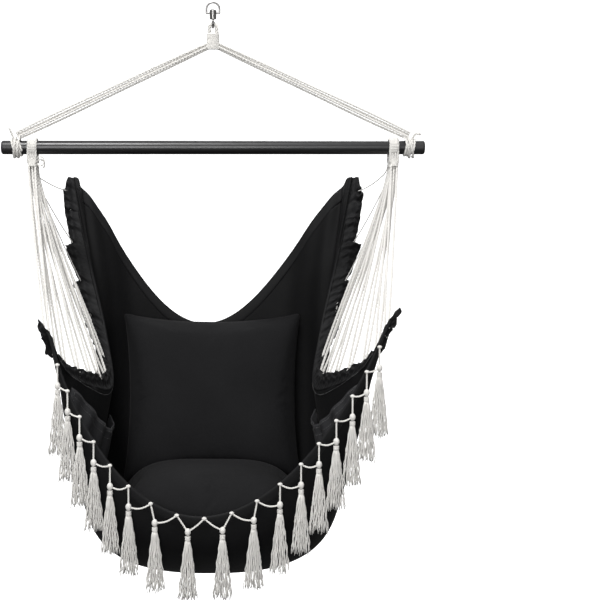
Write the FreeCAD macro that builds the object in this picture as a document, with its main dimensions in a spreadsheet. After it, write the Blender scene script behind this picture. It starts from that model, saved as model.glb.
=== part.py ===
import FreeCAD, Part
import math
import os
import Sketcher
from FreeCAD import Placement, Rotation, Vector

# A hanging hammock chair: a swivel hanger, a spreader bar on two ropes, and a cloth seat
# held by cords from two cuffs that roll on the bar.  Millimetres.  The origin is the point
# inside the top of the hang ring, +X runs along the bar, -Y is the front, +Z is up.

doc = FreeCAD.newDocument("hammock_chair")
sheet = doc.addObject("Spreadsheet::Sheet", "sizes")

DRIVING = [
    ("ring_wire", 4, "wire of the hang ring"),
    ("ring_radius", 15, "centre line of the hang ring's bow"),
    ("trunnion_drop", 22, "hang point down to the ring's pivot pins"),
    ("pin_reach", 3.8, "middle of the swivel head to the end of each pivot pin"),
    ("running_gap", 0.05, "radial clearance of pins and shanks that turn"),
    ("head_radius", 7.7, "swivel head"),
    ("head_top", 13, "hang point down to the top of the head's dome"),
    ("dome_rise", 4, "height of the dome"),
    ("head_bottom", 33, "hang point down to the underside of the head"),
    ("cavity_radius", 5.5, "room for the rivet head inside the swivel head"),
    ("cavity_top", 25, "hang point down to the cavity's roof"),
    ("cavity_tall", 5, "height of the cavity"),
    ("rivet_gap", 0.3, "play of the rivet head in its cavity"),
    ("shank_radius", 3.5, "shank of the swivel eye"),
    ("collar_radius", 7.4, "collar under the swivel head"),
    ("collar_tall", 2.2, "thickness of the collar"),
    ("eye_radius", 9.5, "centre line of the lower eye"),
    ("eye_wire", 5, "round section of the lower eye"),
    ("eye_drop", 45, "hang point down to the middle of the lower eye"),
    ("loop_rope", 8.6, "rope that passes through the eye"),
    ("loop_play", 1.4, "rope to eye, inside the loop"),
    ("whip_top", 67, "hang point down to the top of the whipping"),
    ("whip_tall", 38, "length of the whipping"),
    ("whip_width_top", 28, "width of the whipping at its top"),
    ("whip_width_low", 33, "width of the whipping at its bottom"),
    ("whip_thick", 15, "depth of the whipping"),
    ("bar_drop", 330, "hang point down to the bar's axis"),
    ("bar_length", 988, "spreader bar over its caps"),
    ("bar_diameter", 32, "outside of the bar and its caps"),
    ("bar_wall", 2, "tube wall of the bar"),
    ("cap_length", 30, "part of each cap beyond the tube"),
    ("cap_plug", 35, "part of each cap inside the tube"),
    ("cap_round", 5, "rounding of the cap's end"),
    ("cap_gap", 0.1, "cap plug to the tube, each side"),
    ("hitch_inset", 37, "bar end to the middle of the rope's hitch"),
    ("hitch_width", 20, "width of the hitch along the bar"),
    ("hitch_thick", 8, "rope turns of the hitch on the bar"),
    ("hitch_tilt", 13, "lean of the hitch, in degrees"),
    ("hanger_width", 17, "hanger rope, a flat lay of cords, seen from the front"),
    ("hanger_thick", 10, "hanger rope from front to back"),
    ("hanger_height", 27, "bar axis up to the middle of the rope at the hitch"),
    ("cuff_inset", 73, "bar end to the middle of the cuff"),
    ("cuff_width", 24, "cuff along the bar"),
    ("cuff_thick", 8.5, "wrapped cord of the cuff round the bar"),
    ("cuff_gap", 0.3, "cuff to bar"),
    ("neck_drop", 46, "bar axis down to the underside of the cuff's neck"),
    ("neck_depth", 50, "neck of the cuff from front to back"),
    ("cord_diameter", 6, "support cord"),
    ("string_diameter", 3, "thin string at the back"),
    ("edge_rope_diameter", 7, "rope inside the side hem"),
    ("seat_width", 700, "seat between its back corners"),
    ("seat_depth", 575, "seat from front rim to back edge"),
    ("seat_drop", 988, "bar axis down to the lowest cloth"),
    ("cloth_thick", 2.4, "seat cloth, two layers"),
    ("hem_thick", 5, "gathered side hem"),
    ("rim_thick", 6, "rolled hem of the rim"),
    ("pocket_room", 24, "depth of the pockets"),
    ("pocket_thick", 1.6, "cloth of the pockets"),
    ("cover_thick", 1.5, "cushion cover"),
    ("back_cushion_width", 436, "back cushion"),
    ("back_cushion_tall", 410, "back cushion"),
    ("back_cushion_thick", 128, "back cushion at its crown"),
    ("seat_cushion_width", 404, "seat cushion"),
    ("seat_cushion_deep", 336, "seat cushion"),
    ("seat_cushion_thick", 170, "seat cushion at its crown"),
    ("fringe_cord_diameter", 4, "cord that carries the tassels"),
    ("tassel_length", 160, "tassel with its head"),
    ("tassel_head", 13, "tassel head across"),
    ("tassel_flare", 40, "tassel across at its foot"),
    ("tassel_count", 17, "tassels along the rim"),
]
for row, (alias, value, meaning) in enumerate(DRIVING, 1):
    sheet.set("A%d" % row, meaning)
    sheet.set("B%d" % row, str(value))
    sheet.setAlias("B%d" % row, alias)
doc.recompute()


def size(alias):
    """A driving dimension, read from the sheet."""
    return float(sheet.get(alias))


def bind(thing, **formulas):
    """Tie properties of an object to the sheet; a double underscore stands for a dot."""
    for name, formula in formulas.items():
        path = name.replace("__", ".")
        thing.setExpression(path, formula)
    return thing


def primitive(kind, name, turn=None, **formulas):
    """A Part primitive bound to the sheet, turned by an axis and an angle."""
    thing = doc.addObject("Part::" + kind, name)
    if turn:
        thing.Placement = Placement(Vector(), Rotation(Vector(*turn[0]), turn[1]))
    return bind(thing, **formulas)


def fuse(label, *shapes):
    whole = doc.addObject("Part::MultiFuse", label)
    whole.Shapes = list(shapes)
    whole.Label = label
    return whole


def cut(label, base, tool):
    rest = doc.addObject("Part::Cut", label)
    rest.Base = base
    rest.Tool = tool
    rest.Label = label
    return rest


def feature(label, shape):
    """A piece whose shape no feature of the workbenches makes."""
    thing = doc.addObject("Part::Feature", label)
    thing.Shape = shape
    thing.Placement = Placement()
    thing.Label = label
    return thing


ALONG_X = ((0, 1, 0), 90)
RING_IN_XZ = ((1, 0, 0), 90)
RING_IN_YZ = ((0, 1, 0), -90)
SIDES = (("left", -1), ("right", 1))
pieces = []

# ---------------------------------------------------------------- swivel hanger

bow = primitive("Torus", "ring_bow", RING_IN_XZ, Radius1="sizes.ring_radius", Radius2="sizes.ring_wire / 2",
                Placement__Base__z="sizes.ring_wire / 2 - sizes.ring_radius")
bow.Angle3 = 180
ring_parts = [bow]
for side, sign in SIDES:
    across = "%d * sizes.ring_radius" % sign
    ring_parts.append(primitive(
        "Cylinder", "ring_leg_" + side, Radius="sizes.ring_wire / 2",
        Height="sizes.trunnion_drop + sizes.ring_wire / 2 - sizes.ring_radius",
        Placement__Base__x=across, Placement__Base__z="-sizes.trunnion_drop"))
    ring_parts.append(primitive(
        "Sphere", "ring_elbow_" + side, Radius="sizes.ring_wire / 2",
        Placement__Base__x=across, Placement__Base__z="-sizes.trunnion_drop"))
    start = "-sizes.ring_radius" if sign < 0 else "sizes.pin_reach"
    ring_parts.append(primitive(
        "Cylinder", "ring_pin_" + side, ALONG_X, Radius="sizes.ring_wire / 2",
        Height="sizes.ring_radius - sizes.pin_reach",
        Placement__Base__x=start, Placement__Base__z="-sizes.trunnion_drop"))
pieces.append(fuse("hang_ring", *ring_parts))

head_body = primitive("Cylinder", "head_body", Radius="sizes.head_radius",
                      Height="sizes.head_bottom - sizes.head_top - sizes.dome_rise",
                      Placement__Base__z="-sizes.head_bottom")
head_dome = primitive("Ellipsoid", "head_dome", Radius1="sizes.dome_rise", Radius2="sizes.head_radius",
                      Radius3="sizes.head_radius",
                      Placement__Base__z="-sizes.head_top - sizes.dome_rise")
head_dome.Angle1 = 0
head_solid = fuse("head_solid", head_body, head_dome)
cavity = primitive("Cylinder", "head_cavity", Radius="sizes.cavity_radius", Height="sizes.cavity_tall",
                   Placement__Base__z="-sizes.cavity_top - sizes.cavity_tall")
neck_bore = primitive("Cylinder", "head_bore", Radius="sizes.shank_radius + sizes.running_gap",
                      Height="sizes.head_bottom - sizes.cavity_top",
                      Placement__Base__z="-sizes.head_bottom - 0.5")
cross_hole = primitive("Cylinder", "head_cross_hole", ALONG_X, Radius="sizes.ring_wire / 2 + sizes.running_gap",
                       Height="2 * sizes.head_radius + 2", Placement__Base__x="-sizes.head_radius - 1",
                       Placement__Base__z="-sizes.trunnion_drop")
pieces.append(cut("swivel_head", head_solid, fuse("head_bores", cavity, neck_bore, cross_hole)))

rivet = primitive("Cylinder", "eye_rivet", Radius="sizes.cavity_radius - sizes.rivet_gap",
                  Height="sizes.cavity_tall - 2 * sizes.rivet_gap",
                  Placement__Base__z="-sizes.cavity_top - sizes.cavity_tall + sizes.rivet_gap")
shank = primitive("Cylinder", "eye_shank", Radius="sizes.shank_radius",
                  Height="sizes.head_bottom + sizes.collar_tall - sizes.cavity_top - sizes.rivet_gap - 1",
                  Placement__Base__z="-sizes.head_bottom - sizes.collar_tall")
collar = primitive("Cylinder", "eye_collar", Radius="sizes.collar_radius", Height="sizes.collar_tall",
                   Placement__Base__z="-sizes.head_bottom - sizes.rivet_gap - sizes.collar_tall")
eye_bow = primitive("Torus", "eye_bow", RING_IN_YZ, Radius1="sizes.eye_radius", Radius2="sizes.eye_wire / 2",
                    Placement__Base__z="-sizes.eye_drop")
pieces.append(fuse("swivel_eye", rivet, shank, collar, eye_bow))

# ---------------------------------------------------------------- rope loop and whipping

LOOP_AXIS = "-sizes.eye_drop - sizes.eye_radius"
LOOP_HALF = "(sizes.eye_wire / 2 + sizes.loop_play + sizes.loop_rope / 2)"
loop_bow = primitive("Torus", "loop_bow", RING_IN_XZ, Radius1=LOOP_HALF, Radius2="sizes.loop_rope / 2",
                     Placement__Base__z=LOOP_AXIS)
loop_bow.Angle3 = 180
loop_parts = [loop_bow]
for side, sign in SIDES:
    loop_parts.append(primitive(
        "Cylinder", "loop_leg_" + side, Radius="sizes.loop_rope / 2",
        Height="sizes.whip_top + sizes.whip_tall / 2 - sizes.eye_drop - sizes.eye_radius",
        Placement__Base__x="%d * %s" % (sign, LOOP_HALF),
        Placement__Base__z="-sizes.whip_top - sizes.whip_tall / 2"))
pieces.append(fuse("top_loop", *loop_parts))

whip_ends = []
for name, width, drop in (("whip_upper_end", "sizes.whip_width_top", "sizes.whip_top"),
                          ("whip_lower_end", "sizes.whip_width_low", "sizes.whip_top + sizes.whip_tall")):
    whip_ends.append(primitive("Ellipse", name, MajorRadius=width + " / 2", MinorRadius="sizes.whip_thick / 2",
                               Placement__Base__z="-(%s)" % drop))
whipping = doc.addObject("Part::Loft", "top_whipping")
whipping.Sections = whip_ends
whipping.Solid = True
whipping.Label = "top_whipping"
pieces.append(whipping)

# ---------------------------------------------------------------- spreader bar and caps


def origin_plane(body, role):
    return [one for one in body.Origin.OriginFeatures if one.Role == role][0]


def round_sketch(body, name, formulas, offset):
    """Concentric circles on the body's YZ plane, their radii tied to the sheet."""
    sketch = body.newObject("Sketcher::SketchObject", name)
    sketch.AttachmentSupport = [(origin_plane(body, "YZ_Plane"), "")]
    sketch.MapMode = "FlatFace"
    bind(sketch, AttachmentOffset__Base__z=offset)
    for number, formula in enumerate(formulas):
        sketch.addGeometry(Part.Circle(Vector(), Vector(0, 0, 1), 10 + number), False)
        # the circle's centre sits on the sketch's origin
        sketch.addConstraint(Sketcher.Constraint("Coincident", number, 3, -1, 1))
        place = sketch.addConstraint(Sketcher.Constraint("Radius", number, 10 + number))
        sketch.setExpression("Constraints[%d]" % place, formula)
    return sketch


def pad(body, name, sketch, length, backwards=False):
    block = body.newObject("PartDesign::Pad", name)
    block.Profile = sketch
    block.Reversed = backwards
    bind(block, Length=length)
    return block


BAR_AXIS = "-sizes.bar_drop"
TUBE_HALF = "(sizes.bar_length / 2 - sizes.cap_length)"
BORE_RADIUS = "(sizes.bar_diameter / 2 - sizes.bar_wall)"

bar = doc.addObject("PartDesign::Body", "spreader_bar")
bar.Label = "spreader_bar"
tube_ends = round_sketch(bar, "tube_section", ["sizes.bar_diameter / 2", BORE_RADIUS], "-" + TUBE_HALF)
pad(bar, "tube", tube_ends, "2 * " + TUBE_HALF)
bind(bar, Placement__Base__z=BAR_AXIS)
pieces.append(bar)

for side, sign in SIDES:
    cap = doc.addObject("PartDesign::Body", "bar_cap_" + side)
    cap.Label = "bar_cap_" + side
    inner_face = "%d * %s" % (sign, TUBE_HALF)
    head_section = round_sketch(cap, "cap_section_" + side, ["sizes.bar_diameter / 2"], inner_face)
    pad(cap, "cap_head_" + side, head_section, "sizes.cap_length", sign < 0)
    plug_section = round_sketch(cap, "plug_section_" + side, [BORE_RADIUS + " - sizes.cap_gap"], inner_face)
    pad(cap, "cap_plug_" + side, plug_section, "sizes.cap_plug", sign > 0)
    doc.recompute()
    blank = cap.Tip
    circles = [n for n, edge in enumerate(blank.Shape.Edges) if isinstance(edge.Curve, Part.Circle)]
    outermost = max(circles, key=lambda n: sign * blank.Shape.Edges[n].CenterOfMass.x)
    rounding = cap.newObject("PartDesign::Fillet", "cap_round_" + side)
    rounding.Base = (blank, ["Edge%d" % (outermost + 1)])
    bind(rounding, Radius="min(sizes.cap_round; sizes.cap_length / 2)")
    cap.Tip = rounding
    bind(cap, Placement__Base__z=BAR_AXIS)
    pieces.append(cap)

# ---------------------------------------------------------------- hitches and cuffs on the bar

for side, sign in SIDES:
    middle = "%d * (sizes.bar_length / 2 - sizes.hitch_inset)" % sign
    reach = "sizes.hitch_width * 2"
    outside = primitive("Cylinder", "hitch_outside_" + side, ALONG_X, Height="2 * " + reach,
                        Radius="sizes.bar_diameter / 2 + sizes.hitch_thick",
                        Placement__Base__x="%s - %s" % (middle, reach), Placement__Base__z=BAR_AXIS)
    tall = "(sizes.bar_diameter + 4 * sizes.hitch_thick)"
    slab = primitive("Box", "hitch_slab_" + side, Length="sizes.hitch_width", Width=tall, Height=tall)
    slab.Placement = Placement(Vector(), Rotation(Vector(0, 1, 0), sign * -size("hitch_tilt")))
    lean = size("hitch_tilt") * math.pi / 180
    half_tall = size("bar_diameter") / 2 + 2 * size("hitch_thick")
    corner = slab.Placement.Rotation.multVec(Vector(-size("hitch_width") / 2, -half_tall, -half_tall))
    bind(slab, Placement__Base__x="%s + %.6f" % (middle, corner.x),
         Placement__Base__y="-%s / 2" % tall, Placement__Base__z="%s + %.6f" % (BAR_AXIS, corner.z))
    turns = doc.addObject("Part::MultiCommon", "hitch_turns_" + side)
    turns.Shapes = [outside, slab]
    bore = primitive("Cylinder", "hitch_bore_" + side, ALONG_X, Height="2 * " + reach,
                     Radius="sizes.bar_diameter / 2",
                     Placement__Base__x="%s - %s" % (middle, reach), Placement__Base__z=BAR_AXIS)
    pieces.append(cut("hitch_" + side, turns, bore))

for side, sign in SIDES:
    middle = "%d * (sizes.bar_length / 2 - sizes.cuff_inset)" % sign
    ring = primitive("Cylinder", "cuff_ring_" + side, ALONG_X, Height="sizes.cuff_width",
                     Radius="sizes.bar_diameter / 2 + sizes.cuff_gap + sizes.cuff_thick",
                     Placement__Base__x="%s - sizes.cuff_width / 2" % middle, Placement__Base__z=BAR_AXIS)
    neck = primitive("Box", "cuff_neck_" + side, Length="sizes.cuff_width", Width="sizes.neck_depth",
                     Height="sizes.neck_drop", Placement__Base__x="%s - sizes.cuff_width / 2" % middle,
                     Placement__Base__y="-sizes.neck_depth / 2",
                     Placement__Base__z="%s - sizes.neck_drop" % BAR_AXIS)
    bore = primitive("Cylinder", "cuff_bore_" + side, ALONG_X, Height="2 * sizes.cuff_width",
                     Radius="sizes.bar_diameter / 2 + sizes.cuff_gap",
                     Placement__Base__x="%s - sizes.cuff_width" % middle, Placement__Base__z=BAR_AXIS)
    pieces.append(cut("cuff_" + side, fuse("cuff_blank_" + side, ring, neck), bore))
doc.recompute()

# ---------------------------------------------------------------- cords


def cord_path(points, widest=math.inf):
    """Straight runs joined by tangent arcs; returns the wire and the arcs' radii."""
    edges = []
    radii = []
    at = points[0]
    for before, corner, after in zip(points, points[1:], points[2:]):
        back = (before - corner).normalize()
        ahead = (after - corner).normalize()
        half_turn = (math.pi - back.getAngle(ahead)) / 2
        reach = 0.45 * min((corner - before).Length, (after - corner).Length)
        radii.append(min(reach / math.tan(half_turn), widest))
        reach = radii[-1] * math.tan(half_turn)
        enter = corner + back * reach
        leave = corner + ahead * reach
        middle = corner + (back + ahead).normalize() * (radii[-1] / math.cos(half_turn) - radii[-1])
        edges.append(Part.LineSegment(at, enter).toShape())
        edges.append(Part.Arc(enter, middle, leave).toShape())
        at = leave
    edges.append(Part.LineSegment(at, points[-1]).toShape())
    return Part.Wire(edges), radii


def tube(label, points, diameter, widest=math.inf):
    """A round cord along a route, checked against its section times its length."""
    path, radii = cord_path(points, widest)
    start = Part.Wire(Part.Circle(points[0], points[1] - points[0], diameter / 2).toShape())
    solid = path.makePipeShell([start], True, False)
    expected = math.pi * diameter ** 2 / 4 * path.Length
    tightest = min(radii) if radii else 0
    print("%-22s length %7.1f  tightest arc %6.1f  volume ratio %.4f"
          % (label, path.Length, tightest, solid.Volume / expected))
    return solid


for side, sign in SIDES:
    # a flat lay of cords from the whipping to the hitch, pulled straight
    top = Vector(sign * size("whip_width_low") / 4, 0, -size("whip_top") - size("whip_tall") * 0.86)
    foot = Vector(sign * (size("bar_length") / 2 - size("hitch_inset")), 0,
                  size("hanger_height") - size("bar_drop"))
    run = foot - top
    upright = Vector(-run.z, 0, run.x).normalize() * size("hanger_width") / 2
    deep = Vector(0, size("hanger_thick") / 2, 0)
    corners = [top + upright + deep, top + upright - deep, top - upright - deep, top - upright + deep]
    band = Part.Face(Part.makePolygon(corners + corners[:1])).extrude(run)
    lengthwise = [edge for edge in band.Edges if abs(edge.Length - run.Length) < 1]
    pieces.append(feature("hanger_rope_" + side, band.makeFillet(size("hanger_thick") * 0.4, lengthwise)))

# ---------------------------------------------------------------- the seat's curves
# Each list runs from the back edge, over the lowest cloth, to the front rim, for a seat of
# the nominal width, depth and drop; stretch() fits them to the sizes in the sheet.

NOMINAL_WIDTH = 700
NOMINAL_DEPTH = 575
NOMINAL_DROP = 988
SEAM = [(350, 250, -72), (311, 185, -260), (264, 105, -435), (239, 20, -552),
        (268, -90, -542), (327, -200, -482), (367, -250, -378)]
HEM = [(372, 252, -68), (354, 190, -248), (302, 112, -418), (257, 22, -526),
       (280, -92, -516), (345, -205, -460), (386, -255, -360)]
CENTRE = [(285, -445), (268, -630), (208, -850), (30, -988), (-145, -962), (-262, -885), (-290, -788)]
ROUNDNESS = [(1.0, 3.0), (0.9, 2.2), (0.7, 1.15), (0.66, 0.75), (0.70, 0.70), (0.85, 1.2), (1.0, 1.8)]
BULGE = [0, 8, 46, 62, 50, 18, 0]
LEAN = [-20, -14, -9, -6, -8, -18, -26]
TIP_LIFT = 13
Y_LATE = 1.8
EVEN = 1.35
SEAT_BACK = -41


def along(points, share):
    """A smooth curve through the points, share running from 0 to 1."""
    last = len(points) - 1
    at = min(max(share, 0.0), 1.0) * last
    i = min(int(at), last - 1)
    f = at - i
    b, c = points[i], points[i + 1]
    a = points[i - 1] if i > 0 else [2 * p - q for p, q in zip(b, c)]
    d = points[i + 2] if i + 2 <= last else [2 * q - p for p, q in zip(b, c)]
    return [0.5 * (2 * q + (r - p) * f + (2 * p - 5 * q + 4 * r - s) * f * f
                   + (3 * q - p - 3 * r + s) * f ** 3) for p, q, r, s in zip(a, b, c, d)]


def along_number(numbers, share):
    return along([(n,) for n in numbers], share)[0]


def evened(across):
    """Spread -1 to 1 over a quarter turn each way, closer together at middle and edges."""
    q = abs(across)
    r = q ** EVEN / (q ** EVEN + (1 - q) ** EVEN)
    return math.copysign(r * math.pi / 2, across)


def place(x, y, z):
    """From the seat's nominal frame, hung below the bar, to the model's frame."""
    return Vector(x * size("seat_width") / NOMINAL_WIDTH,
                  (y + SEAT_BACK) * size("seat_depth") / NOMINAL_DEPTH,
                  z * size("seat_drop") / NOMINAL_DROP - size("bar_drop"))


def settle(share, turn, x, z):
    """The cloth hangs a little off its middle, and its right front tip is higher."""
    front = max(0.0, (share - 0.6) / 0.4) ** 2
    s = math.sin(turn)
    x += along_number(LEAN, share) * math.cos(turn) ** 2 + TIP_LIFT * front * s * s
    z += TIP_LIFT * front * s * abs(s)
    return x, z


def seat_nominal(share, across):
    turn = evened(across)
    ex, ey, ez = along(SEAM, share)
    cy, cz = along(CENTRE, share)
    power_x, power_z = along(ROUNDNESS, share)
    s = abs(math.sin(turn))
    c = max(math.cos(turn), 0.0)
    rise = 1 - c ** power_z if c > 1e-9 else 1.0
    x = ex * s ** power_x + along_number(BULGE, share) * math.sin(2 * abs(turn))
    x, z = settle(share, turn, math.copysign(x, across), cz + (ez - cz) * rise)
    return x, cy + (ey - cy) * rise ** Y_LATE, z


def seat_point(share, across):
    """A point of the cloth: share 0 at the back edge, 1 at the rim; across -1 to 1."""
    return place(*seat_nominal(share, across))


def hem_point(share, sign):
    """A point of the side hem's outer edge."""
    x, y, z = along(HEM, share)
    x, z = settle(share, sign * math.pi / 2, sign * x, z)
    return place(x, y, z)


def normal_of(point, a, b):
    """The unit normal of a sheet at (a, b)."""
    step = 0.004
    a0, a1 = max(a - step, 0), min(a + step, 1)
    b0, b1 = max(b - step, 0), min(b + step, 1)
    return (point(a1, b) - point(a0, b)).cross(point(a, b1) - point(a, b0)).normalize()


def skinned(near, far):
    """A closed solid between two grids of points with the same layout."""
    surfaces = []
    for grid in (near, far):
        surface = Part.BSplineSurface()
        surface.interpolate(grid)
        surfaces.append(surface.toShape())
    surfaces[0].reverse()
    walls = [Part.makeRuledSurface(a, b) for a, b in zip(surfaces[0].OuterWire.Edges,
                                                        surfaces[1].OuterWire.Edges)]
    shell = Part.Shell(surfaces + walls)
    shell.sewShape()
    solid = Part.makeSolid(shell)
    if solid.Volume < 0:
        solid.reverse()
    return solid


def sheet_solid(point, thick, rows, columns, lift=0.0):
    """A cloth of even thickness about the sheet point(a, b), a and b from 0 to 1."""
    near = []
    far = []
    for i in range(rows + 1):
        line = [(point(i / rows, j / columns), normal_of(point, i / rows, j / columns))
                for j in range(columns + 1)]
        near.append([p + n * (lift - thick / 2) for p, n in line])
        far.append([p + n * (lift + thick / 2) for p, n in line])
    return skinned(near, far)


RIM_SHARE = 0.965
BACK_SHARE = 0.03
pieces.append(feature("sling", sheet_solid(
    lambda a, b: seat_point(BACK_SHARE + (RIM_SHARE - BACK_SHARE) * a, 2 * b - 1),
    size("cloth_thick"), 24, 28)))
pieces.append(feature("front_rim", sheet_solid(
    lambda a, b: seat_point(RIM_SHARE - 0.002 + (1.002 - RIM_SHARE) * a, 2 * b - 1), size("rim_thick"), 3, 28)))
pieces.append(feature("back_hem", sheet_solid(
    lambda a, b: seat_point((BACK_SHARE + 0.002) * a, 2 * b - 1), size("rim_thick"), 3, 28)))

for side, sign in SIDES:
    def hem_sheet(a, b, sign=sign):
        inner = seat_point(a, sign)
        outer = hem_point(a, sign)
        return inner + (outer - inner) * (0.06 + 0.94 * b)
    pieces.append(feature("side_hem_" + side, sheet_solid(hem_sheet, size("hem_thick"), 24, 3)))

EDGE_DEPTH = 0.78
EDGE_STOPS = 15


def edge_point(share, sign):
    """The middle of the rope inside the side hem."""
    inner = seat_point(share, sign)
    return inner + (hem_point(share, sign) - inner) * EDGE_DEPTH


for side, sign in SIDES:
    stops = [edge_point(0.025 + 0.93 * i / EDGE_STOPS, sign) for i in range(EDGE_STOPS + 1)]
    pieces.append(feature("edge_rope_" + side, tube("edge_rope_" + side, stops, size("edge_rope_diameter"))))

# ---------------------------------------------------------------- support cords and strings
# A support cord leaves the cuff's neck, goes down to the side hem, round the rope inside it
# and back up to the neck.  The shares say where along the hem each one hangs.

CORD_SHARES = [0.44, 0.52, 0.60, 0.67, 0.735, 0.80, 0.865, 0.925]
STRING_SHARES = [0.035, 0.15, 0.235, 0.33]
NECK_ROWS = (-0.30, 0.0, 0.30)
STRING_ROWS = (-0.39, -0.13, 0.13, 0.39)
NECK_MARGIN = 1.2
LEAD = 34
TUCKED = 6
STRING_LEAD = 10
STRING_STEP = 8
STRING_SAG = 0.03
STRING_STOPS = (0.35, 0.72)


def neck_point(sign, row, deep, drop):
    """A place below the neck's underside: row along X, deep along Y."""
    return Vector(sign * (size("bar_length") / 2 - size("cuff_inset")) + row * size("cuff_width"),
                  deep, -size("bar_drop") - size("neck_drop") - drop)


def strand_places():
    """Where the cords' strands enter the neck, in three rows, from the back to the front."""
    front = -size("neck_depth") / 2 + size("cord_diameter") / 2 + NECK_MARGIN / 2
    back = size("neck_depth") / 2 - size("cord_diameter") / 2 - size("string_diameter") - 2 * NECK_MARGIN
    count = 2 * len(CORD_SHARES)
    return [(NECK_ROWS[n % 3], back + (front - back) * n / (count - 1)) for n in range(count)]


def cord_route(sign, number):
    """Down from the neck, round the rope in the hem, and back up."""
    share = CORD_SHARES[number]
    places = strand_places()[2 * number:2 * number + 2]
    starts = [neck_point(sign, row, deep, -TUCKED) for row, deep in places]
    turns = [neck_point(sign, row * 0.9, deep, LEAD) for row, deep in places]
    half_gap = (size("cord_diameter") + size("edge_rope_diameter")) / 2
    hold = edge_point(share, sign)
    tangent = (edge_point(share + 0.01, sign) - edge_point(share - 0.01, sign)).normalize()
    down = (hold - (turns[0] + turns[1]) * 0.5).normalize()
    foot = hold + down * half_gap
    aside = down.cross(tangent).normalize() * half_gap
    if aside.dot(starts[0] - starts[1]) < 0:
        aside = -aside
    return [starts[0], turns[0], foot + aside, foot - aside, turns[1], starts[1]]


def string_route(sign, number):
    """From the back of the neck, slack, to the side hem high on the back."""
    row = STRING_ROWS[number]
    deep = size("neck_depth") / 2 - size("string_diameter") / 2 - NECK_MARGIN
    start = neck_point(sign, row, deep, -TUCKED)
    turn = neck_point(sign, row, deep, STRING_LEAD + STRING_STEP * number)
    target = edge_point(STRING_SHARES[number], sign)
    way = target - turn
    sag = Vector(0, 0, -STRING_SAG * way.Length)
    return [start, turn] + [turn + way * stop + sag for stop in STRING_STOPS] + [target]


for side, sign in SIDES:
    for number in range(len(CORD_SHARES)):
        name = "support_cord_%s_%d" % (side, number + 1)
        pieces.append(feature(name, tube(name, cord_route(sign, number), size("cord_diameter"))))
    for number in range(len(STRING_SHARES)):
        name = "back_string_%s_%d" % (side, number + 1)
        pieces.append(feature(name, tube(name, string_route(sign, number), size("string_diameter"))))

# ---------------------------------------------------------------- pockets

POCKET = {"back": 0.50, "front": 0.80, "low": 0.66, "high": 0.90}
SEWN = 0.35


def pocket_sheet(sign):
    """A pouch on the inner wall, sewn at its foot and both ends, open at the top."""
    def point(a, b):
        share = POCKET["back"] + (POCKET["front"] - POCKET["back"]) * a
        across = POCKET["low"] + (POCKET["high"] - POCKET["low"]) * b
        wall = lambda p, q: seat_point(p, sign * q)
        inward = normal_of(wall, share, across) * sign
        clear = size("cloth_thick") / 2 + size("pocket_thick") / 2 + SEWN
        belly = math.sin(math.pi * min(max(a, 0), 1)) ** 0.6 * math.sin(math.pi / 2 * b) ** 0.8
        return wall(share, across) + inward * (clear + size("pocket_room") * belly)
    return point


for side, sign in SIDES:
    pieces.append(feature("pocket_" + side, sheet_solid(pocket_sheet(sign), size("pocket_thick"), 12, 8)))

# ---------------------------------------------------------------- cushions


CUSHION_EDGE = 3.0
CUSHION_ROWS = 16
CUSHION_PULL = 0.045
CUSHION_CROWN = 0.62
FILL_GAP = 0.3


def cushion_solid(middle, wide_way, long_way, wide, long_, thick, inset=0.0):
    """A crowned cushion whose sides pull in between its corners."""
    out = wide_way.cross(long_way).normalize()
    rows = CUSHION_ROWS

    def grid(side):
        lines = []
        for i in range(rows + 1):
            line = []
            for j in range(rows + 1):
                u = math.sin((i / rows - 0.5) * math.pi)
                v = math.sin((j / rows - 0.5) * math.pi)
                pull_u = 1 - CUSHION_PULL * (1 - v * v)
                pull_v = 1 - CUSHION_PULL * (1 - u * u)
                swell = ((1 - u ** 4) * (1 - v ** 4)) ** CUSHION_CROWN
                rise = side * (CUSHION_EDGE - inset / 2 + (thick / 2 - CUSHION_EDGE - inset / 2) * swell)
                line.append(middle + wide_way * (u * (wide / 2 - inset) * pull_u)
                            + long_way * (v * (long_ / 2 - inset) * pull_v) + out * rise)
            lines.append(line)
        return lines
    return skinned(grid(-1), grid(1))


BACK_CUSHION = {"low": (-2, 133, -818), "high": (-2, 222, -418)}
SEAT_CUSHION = {"rear": (-6, 92, -818), "front": (-6, -240, -826)}


def cushion_pair(name, one, other, wide, long_, thick):
    start = place(*one)
    end = place(*other)
    middle = (start + end) * 0.5
    long_way = (end - start).normalize()
    outer = cushion_solid(middle, Vector(1, 0, 0), long_way, wide, long_, thick)
    wall = size("cover_thick")
    hollow = cushion_solid(middle, Vector(1, 0, 0), long_way, wide, long_, thick, wall)
    fill = cushion_solid(middle, Vector(1, 0, 0), long_way, wide, long_, thick, wall + FILL_GAP)
    pieces.append(feature(name + "_cover", outer.cut(hollow)))
    pieces.append(feature(name + "_fill", fill))


cushion_pair("back_cushion", BACK_CUSHION["low"], BACK_CUSHION["high"],
             size("back_cushion_width"), size("back_cushion_tall"), size("back_cushion_thick"))
cushion_pair("seat_cushion", SEAT_CUSHION["rear"], SEAT_CUSHION["front"],
             size("seat_cushion_width"), size("seat_cushion_deep"), size("seat_cushion_thick"))

# ---------------------------------------------------------------- fringe and tassels

FRINGE_FIRST = -68
FRINGE_LAST = 71
STEPS = 400
KNOT_DROP = 33
KNOT_STEEP_DROP = 11
STEEP = 0.6
PEAK_DROP = 4
PEAK_GAP = 0.4
KNOT_FORWARD = 3


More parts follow.
